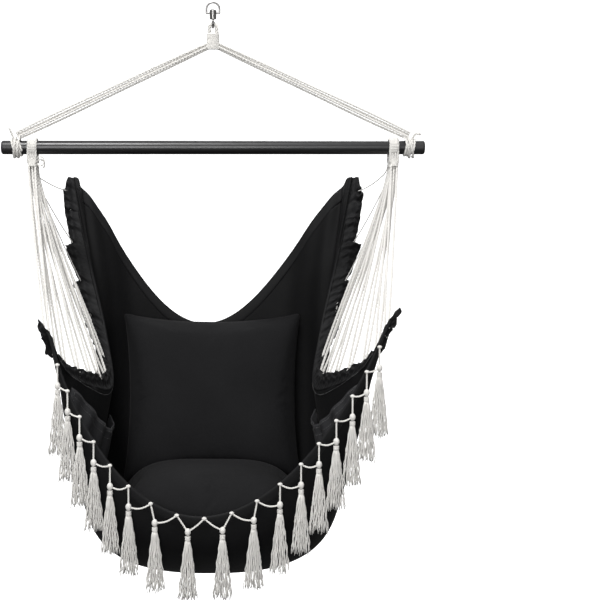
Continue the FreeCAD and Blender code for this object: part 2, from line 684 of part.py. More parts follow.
def rim_at(degrees):
    """A point of the rim by its turn from the middle, in degrees."""
    turn = math.radians(degrees)
    ex, ey, ez = along(SEAM, 1)
    cy, cz = along(CENTRE, 1)
    power_x, power_z = ROUNDNESS[-1]
    rise = 1 - math.cos(turn) ** power_z
    x = math.copysign(ex * abs(math.sin(turn)) ** power_x, turn)
    x, z = settle(1, turn, x, cz + (ez - cz) * rise)
    return place(x, cy + (ey - cy) * rise ** Y_LATE, z)


def fringe_peaks():
    """Places on the rim, evenly spaced along it, where the fringe cord is sewn on."""
    count = int(size("tassel_count")) + 1
    line = [rim_at(FRINGE_FIRST + (FRINGE_LAST - FRINGE_FIRST) * i / STEPS) for i in range(STEPS + 1)]
    run = [0.0]
    for a, b in zip(line, line[1:]):
        run.append(run[-1] + (b - a).Length)
    forward = Vector(0, -size("rim_thick") / 2 - size("fringe_cord_diameter") / 2 - PEAK_GAP, -PEAK_DROP)
    peaks = []
    for k in range(count):
        want = run[-1] * k / (count - 1)
        nearest = min(range(STEPS + 1), key=lambda n: abs(run[n] - want))
        peaks.append(line[nearest] + forward)
    return peaks


def fringe_knots(peaks):
    """Where each tassel hangs: midway on a level stretch, under the upper end on a steep one."""
    knots = []
    for a, b in zip(peaks, peaks[1:]):
        high, low = (a, b) if a.z > b.z else (b, a)
        steep = min(1.0, abs(a.z - b.z) / (b - a).Length / STEEP)
        at = high + (low - high) * ((1 - steep) / 2)
        knots.append(Vector(at.x, at.y - KNOT_FORWARD, high.z - KNOT_DROP - KNOT_STEEP_DROP * steep))
    return knots


peaks = fringe_peaks()
knots = fringe_knots(peaks)
route = [peaks[0]]
for knot, peak in zip(knots, peaks[1:]):
    route += [knot, peak]
pieces.append(feature("fringe_cord", tube("fringe_cord", route, size("fringe_cord_diameter"),
                                          1.5 * size("fringe_cord_diameter"))))


def tassel(knot):
    """A bound head over a skirt that spreads to its foot."""
    head = size("tassel_head") / 2
    top = knot + Vector(0, 0, head * 0.6)
    levels = [(0.0, 0.45, 0.45), (0.05, 1.0, 1.0), (0.12, 0.95, 0.95), (0.16, 0.72, 0.72),
              (0.26, 1.15, 1.0), (1.0, size("tassel_flare") / size("tassel_head"), 1.5)]
    rings = []
    for share, wide, deep in levels:
        centre = top - Vector(0, 0, share * size("tassel_length"))
        if wide > deep:
            across = centre + Vector(head * wide, 0, 0)
            side = centre + Vector(0, head * deep, 0)
            ring = Part.Ellipse(across, side, centre)
        else:
            ring = Part.Circle(centre, Vector(0, 0, 1), head * wide)
        rings.append(Part.Wire(ring.toShape()))
    return Part.makeLoft(rings, True, True)


third = len(knots) // 3
groups = {"tassels_left": knots[:third + 1], "tassels_middle": knots[third + 1:-third - 1],
          "tassels_right": knots[-third - 1:]}
for name, places in groups.items():
    pieces.append(feature(name, Part.makeCompound([tassel(knot) for knot in places])))

# ---------------------------------------------------------------- check and write

doc.recompute()
for thing in doc.Objects:
    if "Invalid" in thing.State or "Error" in thing.State:
        raise RuntimeError("%s did not build: %s" % (thing.Label, thing.State))
for piece in pieces:
    if piece.Shape.isNull() or not piece.Shape.isValid() or not piece.Shape.Solids:
        raise RuntimeError("%s has no valid shape" % piece.Label)

os.makedirs("parts", exist_ok=True)
for piece in pieces:
    piece.Shape.exportStep("parts/%s.step" % piece.Label)
print("%d nodes written" % len(pieces))
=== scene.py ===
import math
import random

import bpy
import numpy as np
from bpy.props import FloatProperty, FloatVectorProperty, IntProperty, PointerProperty
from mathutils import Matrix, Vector
from mathutils.bvhtree import BVHTree


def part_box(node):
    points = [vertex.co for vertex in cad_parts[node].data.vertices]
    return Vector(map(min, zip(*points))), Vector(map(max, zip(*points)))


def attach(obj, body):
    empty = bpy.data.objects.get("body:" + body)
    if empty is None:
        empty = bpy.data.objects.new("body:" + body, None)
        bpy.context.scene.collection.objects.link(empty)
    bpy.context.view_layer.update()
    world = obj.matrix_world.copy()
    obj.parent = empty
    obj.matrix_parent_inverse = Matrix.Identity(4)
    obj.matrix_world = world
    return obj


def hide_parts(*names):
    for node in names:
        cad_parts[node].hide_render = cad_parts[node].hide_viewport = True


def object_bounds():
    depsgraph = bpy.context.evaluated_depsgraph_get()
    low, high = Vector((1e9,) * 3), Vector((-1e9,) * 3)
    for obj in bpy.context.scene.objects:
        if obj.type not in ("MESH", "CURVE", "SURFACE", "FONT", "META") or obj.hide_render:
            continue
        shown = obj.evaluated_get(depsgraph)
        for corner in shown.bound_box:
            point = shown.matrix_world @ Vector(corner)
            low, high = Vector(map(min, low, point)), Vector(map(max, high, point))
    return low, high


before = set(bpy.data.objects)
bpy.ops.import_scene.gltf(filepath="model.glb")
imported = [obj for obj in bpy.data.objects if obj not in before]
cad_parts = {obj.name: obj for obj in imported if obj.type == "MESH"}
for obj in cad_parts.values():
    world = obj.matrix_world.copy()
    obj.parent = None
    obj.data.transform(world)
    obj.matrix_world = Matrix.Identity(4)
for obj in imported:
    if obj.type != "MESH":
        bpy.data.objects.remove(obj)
CAD_BOX = [list(corner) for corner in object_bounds()]

bl_info = {
    "name": "Hammock Chair",
    "version": (1, 0, 0),
    "blender": (4, 5, 0),
    "location": "3D View > Sidebar > Hammock Chair",
    "description": "A hanging hammock chair with cushions, pockets and a tassel fringe",
    "category": "Object",
}

# Metres.  The origin is inside the top of the hang ring, +X runs along the bar, -Y is the front.

SIDES = (("left", -1), ("right", 1))
BAR_LOW, BAR_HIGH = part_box("spreader_bar")
BAR_Z = (BAR_LOW.z + BAR_HIGH.z) / 2
BAR_RADIUS = (BAR_HIGH.z - BAR_LOW.z) / 2
CUFF_X = sum(corner.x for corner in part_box("cuff_right")) / 2
HITCH_X = sum(corner.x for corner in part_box("hitch_right")) / 2
NECK_DROP = BAR_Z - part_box("cuff_right")[0].z

# ---------------------------------------------------------------- settings


def length(name, about, default):
    return FloatProperty(name=name, description=about, default=default, min=0.0, unit="LENGTH", precision=4)


def colour(name, about, default):
    return FloatVectorProperty(name=name, description=about, default=default, size=3, min=0.0, max=1.0,
                               subtype="COLOR")


class HammockSizes(bpy.types.PropertyGroup):
    cord: length("Support cord", "Diameter of each cord from the bar to the seat", 0.006)
    string: length("Back string", "Diameter of the thin strings to the back of the seat", 0.003)
    edge_rope: length("Edge rope", "Diameter of the rope inside the side hem", 0.007)
    hanger_cord: length("Hanger cord", "Diameter of one of the cords above the bar", 0.0056)
    cloth: length("Seat cloth", "Thickness of the doubled seat cloth", 0.0024)
    rim: length("Rolled hem", "Thickness of the rolled hem at front and back", 0.006)
    ruffle: length("Ruffle", "How far the gathered side hem stands in and out", 0.0080)
    tassel: length("Tassel", "Length of one tassel with its head", 0.160)
    tassel_flare: length("Tassel foot", "Width of a tassel at its foot", 0.045)
    strands: IntProperty(name="Tassel strands", description="Strands of yarn in one tassel", default=38, min=8)


class HammockColours(bpy.types.PropertyGroup):
    cotton: colour("Cotton", "Cords, whippings and tassels", (0.70, 0.685, 0.655))
    cloth: colour("Seat cloth", "Seat, hems and pockets", (0.0040, 0.0040, 0.0043))
    cushion: colour("Cushion cloth", "Cushion covers", (0.0095, 0.0095, 0.0101))
    bar: colour("Bar", "Finish of the spreader bar", (0.006, 0.006, 0.0065))
    steel: colour("Steel", "Ring, swivel and eye", (0.24, 0.235, 0.23))
    floor: colour("Floor", "Floor and backdrop", (0.86, 0.86, 0.86))


# ---------------------------------------------------------------- the seat's curves
# Each list runs from the back edge, over the lowest cloth, to the front rim.

SEAM = [(0.350, 0.250, -0.072), (0.311, 0.185, -0.260), (0.264, 0.105, -0.435), (0.239, 0.020, -0.552),
        (0.268, -0.090, -0.542), (0.327, -0.200, -0.482), (0.367, -0.250, -0.378)]
HEM = [(0.372, 0.252, -0.068), (0.354, 0.190, -0.248), (0.302, 0.112, -0.418), (0.257, 0.022, -0.526),
       (0.280, -0.092, -0.516), (0.345, -0.205, -0.460), (0.386, -0.255, -0.360)]
CENTRE = [(0.285, -0.445), (0.268, -0.630), (0.208, -0.850), (0.030, -0.988), (-0.145, -0.962),
          (-0.262, -0.885), (-0.290, -0.788)]
ROUNDNESS = [(1.0, 3.0), (0.9, 2.2), (0.7, 1.15), (0.66, 0.75), (0.70, 0.70), (0.85, 1.2), (1.0, 1.8)]
BULGE = [0, 0.008, 0.046, 0.062, 0.050, 0.018, 0]
LEAN = [-0.020, -0.014, -0.009, -0.006, -0.008, -0.018, -0.026]
TIP_LIFT = 0.013
Y_LATE = 1.8
EVEN = 1.35
SEAT_BACK = -0.041
EDGE_DEPTH = 0.78
RIM_SHARE = 0.965
BACK_SHARE = 0.03


def along(points, share):
    """A smooth curve through the points, share running from 0 to 1."""
    last = len(points) - 1
    at = min(max(share, 0.0), 1.0) * last
    i = min(int(at), last - 1)
    f = at - i
    b, c = points[i], points[i + 1]
    a = points[i - 1] if i > 0 else [2 * p - q for p, q in zip(b, c)]
    d = points[i + 2] if i + 2 <= last else [2 * q - p for p, q in zip(b, c)]
    return [0.5 * (2 * q + (r - p) * f + (2 * p - 5 * q + 4 * r - s) * f * f
                   + (3 * q - p - 3 * r + s) * f ** 3) for p, q, r, s in zip(a, b, c, d)]


def along_number(numbers, share):
    return along([(n,) for n in numbers], share)[0]


def settle(share, turn, x, z):
    """The cloth hangs a little off its middle, and its right front tip is higher."""
    front = max(0.0, (share - 0.6) / 0.4) ** 2
    s = math.sin(turn)
    x += along_number(LEAN, share) * math.cos(turn) ** 2 + TIP_LIFT * front * s * s
    z += TIP_LIFT * front * s * abs(s)
    return x, z


def place(x, y, z):
    return Vector((x, y + SEAT_BACK, z + BAR_Z))


def seat_turned(share, turn):
    ex, ey, ez = along(SEAM, share)
    cy, cz = along(CENTRE, share)
    power_x, power_z = along(ROUNDNESS, share)
    s = abs(math.sin(turn))
    c = max(math.cos(turn), 0.0)
    rise = 1 - c ** power_z if c > 1e-9 else 1.0
    x = ex * s ** power_x + along_number(BULGE, share) * math.sin(2 * abs(turn))
    x, z = settle(share, turn, math.copysign(x, turn), cz + (ez - cz) * rise)
    return place(x, cy + (ey - cy) * rise ** Y_LATE, z)


def seat_point(share, across):
    """A point of the cloth: share 0 at the back edge, 1 at the rim; across -1 to 1."""
    q = abs(across)
    r = q ** EVEN / (q ** EVEN + (1 - q) ** EVEN)
    return seat_turned(share, math.copysign(r * math.pi / 2, across))


def hem_point(share, sign):
    x, y, z = along(HEM, share)
    x, z = settle(share, sign * math.pi / 2, sign * x, z)
    return place(x, y, z)


def edge_point(share, sign):
    """The middle of the rope inside the side hem."""
    inner = seat_point(share, sign)
    return inner + (hem_point(share, sign) - inner) * EDGE_DEPTH


def inward(share, across):
    """The seat's unit normal, towards the sitter."""
    step = 0.004
    a0, a1 = max(share - step, 0), min(share + step, 1)
    b0, b1 = max(across - step, -1), min(across + step, 1)
    run = seat_point(a1, across) - seat_point(a0, across)
    span = seat_point(share, b1) - seat_point(share, b0)
    return run.cross(span).normalized()


# ---------------------------------------------------------------- routes of the cords

CORD_SHARES = [0.44, 0.52, 0.60, 0.67, 0.735, 0.80, 0.865, 0.925]
STRING_SHARES = [0.035, 0.15, 0.235, 0.33]
NECK_ROWS = (-0.30, 0.0, 0.30)
STRING_ROWS = (-0.39, -0.13, 0.13, 0.39)
NECK_MARGIN = 0.0012
NECK_DEPTH = 0.050
NECK_WIDTH = 0.024
LEAD = 0.034
CORD = 0.006
STRING = 0.003
EDGE_ROPE = 0.007
CUFF_WRAP = 0.0037
CUFF_GAP = 0.0003
LOOP_CORD = 0.0060
LOOP_PITCH = 0.0058
LOOP_SEAT = 0.0031
RIBS = 27
RIB_DROP = 0.0036
SPARE_CORD = 0.0042


def neck_point(sign, row, deep, drop):
    return Vector((sign * CUFF_X + row * NECK_WIDTH, deep, BAR_Z - NECK_DROP - drop))


def strand_places():
    front = -NECK_DEPTH / 2 + CORD / 2 + NECK_MARGIN / 2
    back = NECK_DEPTH / 2 - CORD / 2 - STRING - 2 * NECK_MARGIN
    count = 2 * len(CORD_SHARES)
    return [(NECK_ROWS[n % 3], back + (front - back) * n / (count - 1)) for n in range(count)]


def cord_route(sign, number):
    """Down from the neck, round the rope in the hem, and back up."""
    share = CORD_SHARES[number]
    places = strand_places()[2 * number:2 * number + 2]
    starts = [neck_point(sign, row, deep, -0.006) for row, deep in places]
    turns = [neck_point(sign, row * 0.9, deep, LEAD) for row, deep in places]
    half_gap = (CORD + EDGE_ROPE) / 2
    hold = edge_point(share, sign)
    tangent = (edge_point(share + 0.01, sign) - edge_point(share - 0.01, sign)).normalized()
    down = (hold - (turns[0] + turns[1]) * 0.5).normalized()
    foot = hold + down * half_gap
    aside = down.cross(tangent).normalized() * half_gap
    if aside.dot(starts[0] - starts[1]) < 0:
        aside = -aside
    return [starts[0], turns[0], foot + aside, foot - aside, turns[1], starts[1]]


def string_route(sign, number):
    """From the back of the neck, slack, to the side hem high on the back."""
    row = STRING_ROWS[number]
    deep = NECK_DEPTH / 2 - STRING / 2 - NECK_MARGIN
    start = neck_point(sign, row, deep, -0.006)
    turn = neck_point(sign, row, deep, 0.010 + 0.008 * number)
    target = edge_point(STRING_SHARES[number], sign)
    way = target - turn
    sag = Vector((0, 0, -0.03 * way.length))
    return [start, turn, turn + way * 0.35 + sag, turn + way * 0.72 + sag, target]


# ---------------------------------------------------------------- shader helper


class Value:
    """A socket that can be used in sums; each operation adds a Math node."""

    def __init__(self, shade, socket):
        self.shade = shade
        self.socket = socket

    def do(self, operation, *others):
        return self.shade.node("ShaderNodeMath", {"operation": operation}, [self, *others])

    def __add__(self, other): return self.do("ADD", other)
    def __sub__(self, other): return self.do("SUBTRACT", other)
    def __mul__(self, other): return self.do("MULTIPLY", other)
    def __radd__(self, other): return self.do("ADD", other)
    def __rsub__(self, other): return self.shade.node("ShaderNodeMath", {"operation": "SUBTRACT"}, [other, self])


class Shade:
    """Builds one material's nodes."""

    def __init__(self, name, **surface):
        self.material = bpy.data.materials.new(name)
        self.material.use_nodes = True
        self.tree = self.material.node_tree
        self.surface = self.tree.nodes["Principled BSDF"]
        for socket, value in surface.items():
            self.surface.inputs[socket.replace("_", " ")].default_value = value

    def node(self, kind, settings=None, sockets=(), out=0):
        made = self.tree.nodes.new(kind)
        for key, value in (settings or {}).items():
            setattr(made, key, value)
        pairs = sockets.items() if isinstance(sockets, dict) else enumerate(sockets)
        for key, value in pairs:
            if isinstance(value, Value):
                self.tree.links.new(value.socket, made.inputs[key])
            elif value is not None:
                made.inputs[key].default_value = value
        return Value(self, made.outputs[out])

    def coords(self, which):
        return self.node("ShaderNodeTexCoord", out=which)

    def axes(self, vector):
        split = self.tree.nodes.new("ShaderNodeSeparateXYZ")
        self.tree.links.new(vector.socket, split.inputs[0])
        return [Value(self, output) for output in split.outputs]

    def noise(self, vector, scale, detail=2.0, roughness=0.5):
        return self.node("ShaderNodeTexNoise", {}, {"Vector": vector, "Scale": scale, "Detail": detail,
                                                    "Roughness": roughness})

    def mix(self, factor, a, b):
        made = self.tree.nodes.new("ShaderNodeMix")
        made.data_type = "RGBA"
        self.tree.links.new(factor.socket, made.inputs[0])
        for index, value in ((6, a), (7, b)):
            if isinstance(value, Value):
                self.tree.links.new(value.socket, made.inputs[index])
            else:
                made.inputs[index].default_value = (*value, 1)
        return Value(self, made.outputs[2])

    def bump(self, height, strength, distance, under=None):
        return self.node("ShaderNodeBump", {}, {"Strength": strength, "Distance": distance, "Height": height,
                                                "Normal": under})

    def finish(self, **links):
        for socket, value in links.items():
            self.tree.links.new(value.socket, self.surface.inputs[socket.replace("_", " ")])
        return self.material


def tinted(base, factor):
    return [min(1.0, max(0.0, part * factor)) for part in base]


def cloth_material(name, base, grain=0.0011, soft=0.01, rough=0.60, shine=0.11):
    """A plain-weave cloth: threads both ways on the piece's own UV map, which is in metres."""
    s = Shade(name, Sheen_Weight=soft, Sheen_Roughness=0.45, Specular_IOR_Level=shine)
    u, v, _ = s.axes(s.coords("UV"))
    place_on = s.coords("Object")
    turn = 2 * math.pi / grain
    warp = (u * turn).do("SINE") * (v * (turn / 2)).do("SINE")
    weft = (v * turn).do("SINE") * (u * (turn / 2)).do("SINE")
    threads = warp.do("ABSOLUTE").do("MAXIMUM", weft.do("ABSOLUTE"))
    slub = s.noise(place_on, 260, 3.0, 0.6)
    wide = s.noise(place_on, 7, 4.0, 0.55)
    crease = s.noise(place_on, 28, 3.0, 0.5)
    shade = (wide * 0.5 + slub * 0.5).do("MULTIPLY_ADD", 1.6, -0.3)
    tint = s.mix(shade, tinted(base, 0.72), tinted(base, 1.5))
    low = s.bump(crease, 0.35, 0.0016)
    fine = s.bump(threads * 0.6 + slub * 0.4, 0.35, 0.00025, low)
    return s.finish(Base_Color=tint, Roughness=rough + (slub - 0.5) * 0.25, Normal=fine)


def cotton_material(name, base, fibre=0.0011):
    """Spun cotton: fine fibres along the strand, the colour darkened as painted shade where they dip."""
    s = Shade(name, Sheen_Weight=0.35, Sheen_Roughness=0.6, Specular_IOR_Level=0.2)
    u, v, _ = s.axes(s.coords("UV"))
    place_on = s.coords("Object")
    lay = (u * (2 * math.pi * 3) + v * (2 * math.pi / (fibre * 3))).do("SINE")
    hair = s.noise(place_on, 900, 3.0, 0.65)
    patch = s.noise(place_on, 35, 3.0, 0.5)
    height = lay * 0.25 + hair
    # painted shade: the colour is darker where the bump height dips, in the grooves of the lay, mixed with random tone
    # from the fibre and patch noise
    tint = s.mix((height * 0.5 + patch * 0.5).do("MULTIPLY_ADD", 1.3, -0.1), tinted(base, 0.80), tinted(base, 1.10))
    return s.finish(Base_Color=tint, Roughness=0.82 + (patch - 0.5) * 0.2, Normal=s.bump(height, 0.4, 0.0005))


def paint_material(name, base, rough, coat):
    """Powder-coated tube: fine orange peel, faint rubbing along it."""
    s = Shade(name, Coat_Roughness=0.22, Specular_IOR_Level=0.5)
    place_on = s.coords("Object")
    x, y, z = s.axes(place_on)
    stretched = s.node("ShaderNodeCombineXYZ", {}, [x * 6, y * 60, z * 60])
    rub = s.noise(stretched, 1.0, 4.0, 0.6)
    peel = s.noise(place_on, 520, 2.0, 0.5)
    tint = s.mix(rub, tinted(base, 0.8), tinted(base, 1.5))
    return s.finish(Base_Color=tint, Roughness=rough + (rub - 0.5) * 0.16,
                    Coat_Weight=coat + (peel - 0.5) * 0.1, Normal=s.bump(peel, 0.12, 0.0002))


def steel_material(name, base):
    """Turned and brushed steel with faint rings and stains."""
    s = Shade(name, Specular_IOR_Level=0.5)
    place_on = s.coords("Object")
    x, y, z = s.axes(place_on)
    rings = s.noise(s.node("ShaderNodeCombineXYZ", {}, [x * 200, y * 200, z * 3000]), 1.0, 2.0, 0.5)
    stain = s.noise(place_on, 160, 3.0, 0.6)
    tint = s.mix(stain, tinted(base, 0.6), tinted(base, 1.35))
    return s.finish(Base_Color=tint, Metallic=1.0 - (stain * 0.05), Roughness=0.26 + stain * 0.2,
                    Normal=s.bump(rings, 0.15, 0.00015))


def floor_material(base):
    s = Shade("studio_floor", Roughness=0.9, Specular_IOR_Level=0.1, Emission_Color=(1, 1, 1, 1),
              Emission_Strength=0.75)
    mottle = s.noise(s.coords("Object"), 1.5, 2.0)
    return s.finish(Base_Color=s.mix(mottle, tinted(base, 0.995), tinted(base, 1.005)))


MATERIALS = {}


def material(name):
    """Each finish is made once, when a piece first asks for it."""
    if name not in MATERIALS:
        tints = bpy.context.scene.hammock_colours
        made = {
            "cotton_cord": lambda: cotton_material("cotton_cord", tints.cotton),
            "tassel_yarn": lambda: cotton_material("tassel_yarn", tinted(tints.cotton, 1.02), 0.0008),
            "seat_cloth": lambda: cloth_material("seat_cloth", tints.cloth),
            "hem_cloth": lambda: cloth_material("hem_cloth", tinted(tints.cloth, 1.5), 0.0011, 0.02, 0.62, 0.16),
            "pocket_cloth": lambda: cloth_material("pocket_cloth", tinted(tints.cloth, 5.5), 0.0011, 0.02, 0.62, 0.24),
            "cushion_cloth": lambda: cloth_material("cushion_cloth", tints.cushion, 0.0010, 0.02, 0.75, 0.05),
            "thread": lambda: cotton_material("thread", tinted(tints.cloth, 2.2)),
            "bar_finish": lambda: paint_material("bar_finish", tints.bar, 0.38, 0.08),
            "cap_plastic": lambda: paint_material("cap_plastic", tinted(tints.bar, 1.3), 0.5, 0.05),
            "hanger_steel": lambda: steel_material("hanger_steel", tints.steel),
            "floor": lambda: floor_material(tints.floor),
        }[name]()
        MATERIALS[name] = made
    return MATERIALS[name]


# ---------------------------------------------------------------- mesh helpers


def deselect():
    if bpy.context.mode != "OBJECT":
        bpy.ops.object.mode_set(mode="OBJECT")
    bpy.ops.object.select_all(action="DESELECT")


def make_active(obj):
    deselect()
    obj.select_set(True)
    bpy.context.view_layer.objects.active = obj


def apply_all(obj):
    make_active(obj)
    for modifier in list(obj.modifiers):
        bpy.ops.object.modifier_apply(modifier=modifier.name)
    return obj


def shade_round(mesh):
    mesh.polygons.foreach_set("use_smooth", [True] * len(mesh.polygons))


def in_edit_mode(obj, work, **settings):
    """Run one mesh operator on all of a piece."""
    make_active(obj)
    bpy.ops.object.mode_set(mode="EDIT")
    bpy.ops.mesh.select_all(action="SELECT")
    work(**settings)
    bpy.ops.object.mode_set(mode="OBJECT")
    return obj


def settled(obj):
    """The piece with its place and size taken into its mesh."""
    bpy.ops.object.transform_apply(location=True, rotation=True, scale=True)
    return obj


def copied(obj):
    copy = obj.copy()
    copy.data = obj.data.copy()
    bpy.context.scene.collection.objects.link(copy)
    return copy


def refinish(node, finish):
    """A CAD piece that is kept as it is, in a new finish."""
    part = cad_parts[node]
    part.data.materials.clear()
    part.data.materials.append(material(finish))


def mesh_object(name, points, faces, uvs=None):
    """uvs holds one pair per face corner, in order."""
    mesh = bpy.data.meshes.new(name)
    mesh.from_pydata([tuple(map(float, p)) for p in points], [], faces)
    if uvs is not None:
        layer = mesh.uv_layers.new(name="UVMap")
        layer.data.foreach_set("uv", np.asarray(uvs, dtype=np.float32).ravel())
    shade_round(mesh)
    mesh.update()
    obj = bpy.data.objects.new(name, mesh)
    bpy.context.scene.collection.objects.link(obj)
    return obj


def joined(name, parts):
    make_active(parts[0])
    for part in parts:
        part.select_set(True)
    if len(parts) > 1:
        bpy.ops.object.join()
    whole = bpy.context.view_layer.objects.active
    whole.name = whole.data.name = name
    return whole


def dress(obj, finish, slot, body, *nodes):
    """Give a finished piece its material, its body and the CAD nodes it stands for; the slot argument is not used."""
    obj.data.materials.clear()
    obj.data.materials.append(material(finish))
    if nodes:
        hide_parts(*nodes)
    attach(obj, body)
    return obj


def sheet_object(name, point, rows, columns, thick):
    """A cloth through point(i, j), i and j from 0 to 1, with UVs measured along it in metres."""
    grid = np.array([[point(i / rows, j / columns) for j in range(columns + 1)] for i in range(rows + 1)])
    down = np.linalg.norm(np.diff(grid, axis=0), axis=2).mean(axis=1)
    over = np.linalg.norm(np.diff(grid, axis=1), axis=2).mean(axis=0)
    v = np.concatenate([[0], np.cumsum(down)])
    u = np.concatenate([[0], np.cumsum(over)])
    one = np.cross(grid[1:, 1:] - grid[:-1, :-1], grid[1:, :-1] - grid[:-1, 1:])
    area = float(np.linalg.norm(one, axis=2).sum() / 2)
    faces = []
    uvs = []
    wide = columns + 1
    for i in range(rows):
        for j in range(columns):
            faces.append((i * wide + j, i * wide + j + 1, (i + 1) * wide + j + 1, (i + 1) * wide + j))
            uvs += [(u[j], v[i]), (u[j + 1], v[i]), (u[j + 1], v[i + 1]), (u[j], v[i + 1])]
    obj = mesh_object(name, grid.reshape(-1, 3), faces, uvs)
    solid = obj.modifiers.new("thickness", "SOLIDIFY")
    solid.thickness = thick
    solid.offset = 0
    apply_all(obj)
    return obj, float(over.sum()), float(down.sum()), area


def loft(name, sections):
    """A closed solid through rings of points, each ring closed on itself."""
    rings = len(sections)
    count = len(sections[0])
    points = [p for section in sections for p in section]
    faces = []
    uvs = []
    travel = 0.0
    for i in range(rings - 1):
        onward = travel + (Vector(sections[i + 1][0]) - Vector(sections[i][0])).length
        around = 0.0
        for j in range(count):
            k = (j + 1) % count
            width = (Vector(sections[i][k]) - Vector(sections[i][j])).length
            faces.append((i * count + j, i * count + k, (i + 1) * count + k, (i + 1) * count + j))
            uvs += [(around, travel), (around + width, travel), (around + width, onward), (around, onward)]
            around += width
        travel = onward
    faces.append(tuple(reversed(range(count))))
    faces.append(tuple((rings - 1) * count + j for j in range(count)))
    uvs += [(0.0, 0.0)] * (2 * count)
    return in_edit_mode(mesh_object(name, points, faces, uvs), bpy.ops.mesh.normals_make_consistent, inside=False)


# ---------------------------------------------------------------- cord helpers


def spline_line(route, fineness=20):
    """The smooth line of a route, read from its NURBS curve."""
    data = bpy.data.curves.new("route", "CURVE")
    data.dimensions = "3D"
    data.resolution_u = fineness
    spline = data.splines.new("NURBS")
    spline.points.add(len(route) - 1)
    for point, place_at in zip(spline.points, route):
        point.co = (*place_at, 1)
    spline.order_u = 3
    spline.use_endpoint_u = True
    holder = bpy.data.objects.new("route", data)
    bpy.context.scene.collection.objects.link(holder)
    bpy.context.view_layer.update()
    mesh = bpy.data.meshes.new_from_object(holder.evaluated_get(bpy.context.evaluated_depsgraph_get()))
    line = np.array([v.co for v in mesh.vertices])
    bpy.data.meshes.remove(mesh)
    bpy.data.objects.remove(holder)
    bpy.data.curves.remove(data)
    return line


def evenly(line, step):
    """The line again, with points an even step apart."""
    line = np.asarray(line, dtype=float)
    gaps = np.linalg.norm(np.diff(line, axis=0), axis=1)
    run = np.concatenate([[0], np.cumsum(gaps)])
    count = max(2, int(math.ceil(run[-1] / step)) + 1)
    want = np.linspace(0, run[-1], count)
    return np.stack([np.interp(want, run, line[:, k]) for k in range(3)], axis=1), want


def frames_along(line):
    """Two unit vectors across the line at each point, carried along without twist."""
    ahead = np.gradient(line, axis=0)
    ahead /= np.linalg.norm(ahead, axis=1)[:, None]
    first = np.cross(ahead[0], [0, 0, 1.0])
    if np.linalg.norm(first) < 0.1:
        first = np.cross(ahead[0], [0, 1.0, 0])
    across = [first / np.linalg.norm(first)]
    for t in ahead[1:]:
        carried = across[-1] - t * np.dot(across[-1], t)
        across.append(carried / np.linalg.norm(carried))
    across = np.array(across)
    return across, np.cross(ahead, across)


def tubes(name, lines, across, beyond, radius, sides, travel):
    """Round tubes about several lines that share one set of frames."""
    turns = np.arange(sides) * 2 * math.pi / sides
    ring = (np.cos(turns)[None, :, None] * across[:, None, :]
            + np.sin(turns)[None, :, None] * beyond[:, None, :])
    points = []
    faces = []
    uvs = []
    steps = len(travel)
    for line in lines:
        base = len(points) * steps * sides
        points.append((line[:, None, :] + np.asarray(radius).reshape(-1, 1, 1) * ring).reshape(-1, 3))
        for i in range(steps - 1):
            low, high = base + i * sides, base + (i + 1) * sides
            for j in range(sides):
                k = (j + 1) % sides
                faces.append((low + j, low + k, high + k, high + j))
                a, b = j / sides, (j + 1) / sides
                uvs += [(a, travel[i]), (b, travel[i]), (b, travel[i + 1]), (a, travel[i + 1])]
        faces.append(tuple(base + j for j in reversed(range(sides))))
        faces.append(tuple(base + (steps - 1) * sides + j for j in range(sides)))
        uvs += [(0.5, 0.0)] * (2 * sides)
    return mesh_object(name, np.concatenate(points), faces, uvs)


def twisted(name, line, diameter, strands=3, lay=4.5, sides=6, step=None, start_turn=0.0):
    """A laid cord: strands wound round the line, one turn every lay diameters."""
    line, travel = evenly(line, step or diameter * 0.75)
    across, beyond = frames_along(line)
    outer = diameter / 2
    strand = outer / (1 + 1 / math.sin(math.pi / strands))
    reach = outer - strand
    lines = []
    for k in range(strands):
        turn = travel * 2 * math.pi / (lay * diameter) + 2 * math.pi * k / strands + start_turn
        lines.append(line + reach * (np.cos(turn)[:, None] * across + np.sin(turn)[:, None] * beyond))
    return tubes(name, lines, across, beyond, np.full(len(travel), strand * 1.12), sides, travel)


def plain_cord(name, line, diameter, sides=8, step=None, taper=None):
    line, travel = evenly(line, step or diameter * 0.8)
    across, beyond = frames_along(line)
    radius = np.full(len(travel), diameter / 2)
    if taper:
        radius *= np.linspace(1, taper, len(travel))
    return tubes(name, [line], across, beyond, radius, sides, travel)


# ---------------------------------------------------------------- operators


class Maker:
    """What the operators share."""
    bl_options = {"REGISTER", "UNDO"}

    def execute(self, context):
        self.make(context.scene.hammock_sizes)
        return {"FINISHED"}


class HAMMOCK_OT_hanger(Maker, bpy.types.Operator):
    """Finish the steel ring, swivel head and eye"""
    bl_idname = "hammock.hanger"
    bl_label = "Swivel hanger"

    def make(self, sizes):
        for node in ("hang_ring", "swivel_head", "swivel_eye"):
            refinish(node, "hanger_steel")


class HAMMOCK_OT_bar(Maker, bpy.types.Operator):
    """Finish the spreader bar and its end caps"""
    bl_idname = "hammock.bar"
    bl_label = "Spreader bar"

    def make(self, sizes):
        for node, finish in (("spreader_bar", "bar_finish"), ("bar_cap_left", "cap_plastic"),
                             ("bar_cap_right", "cap_plastic")):
            refinish(node, finish)


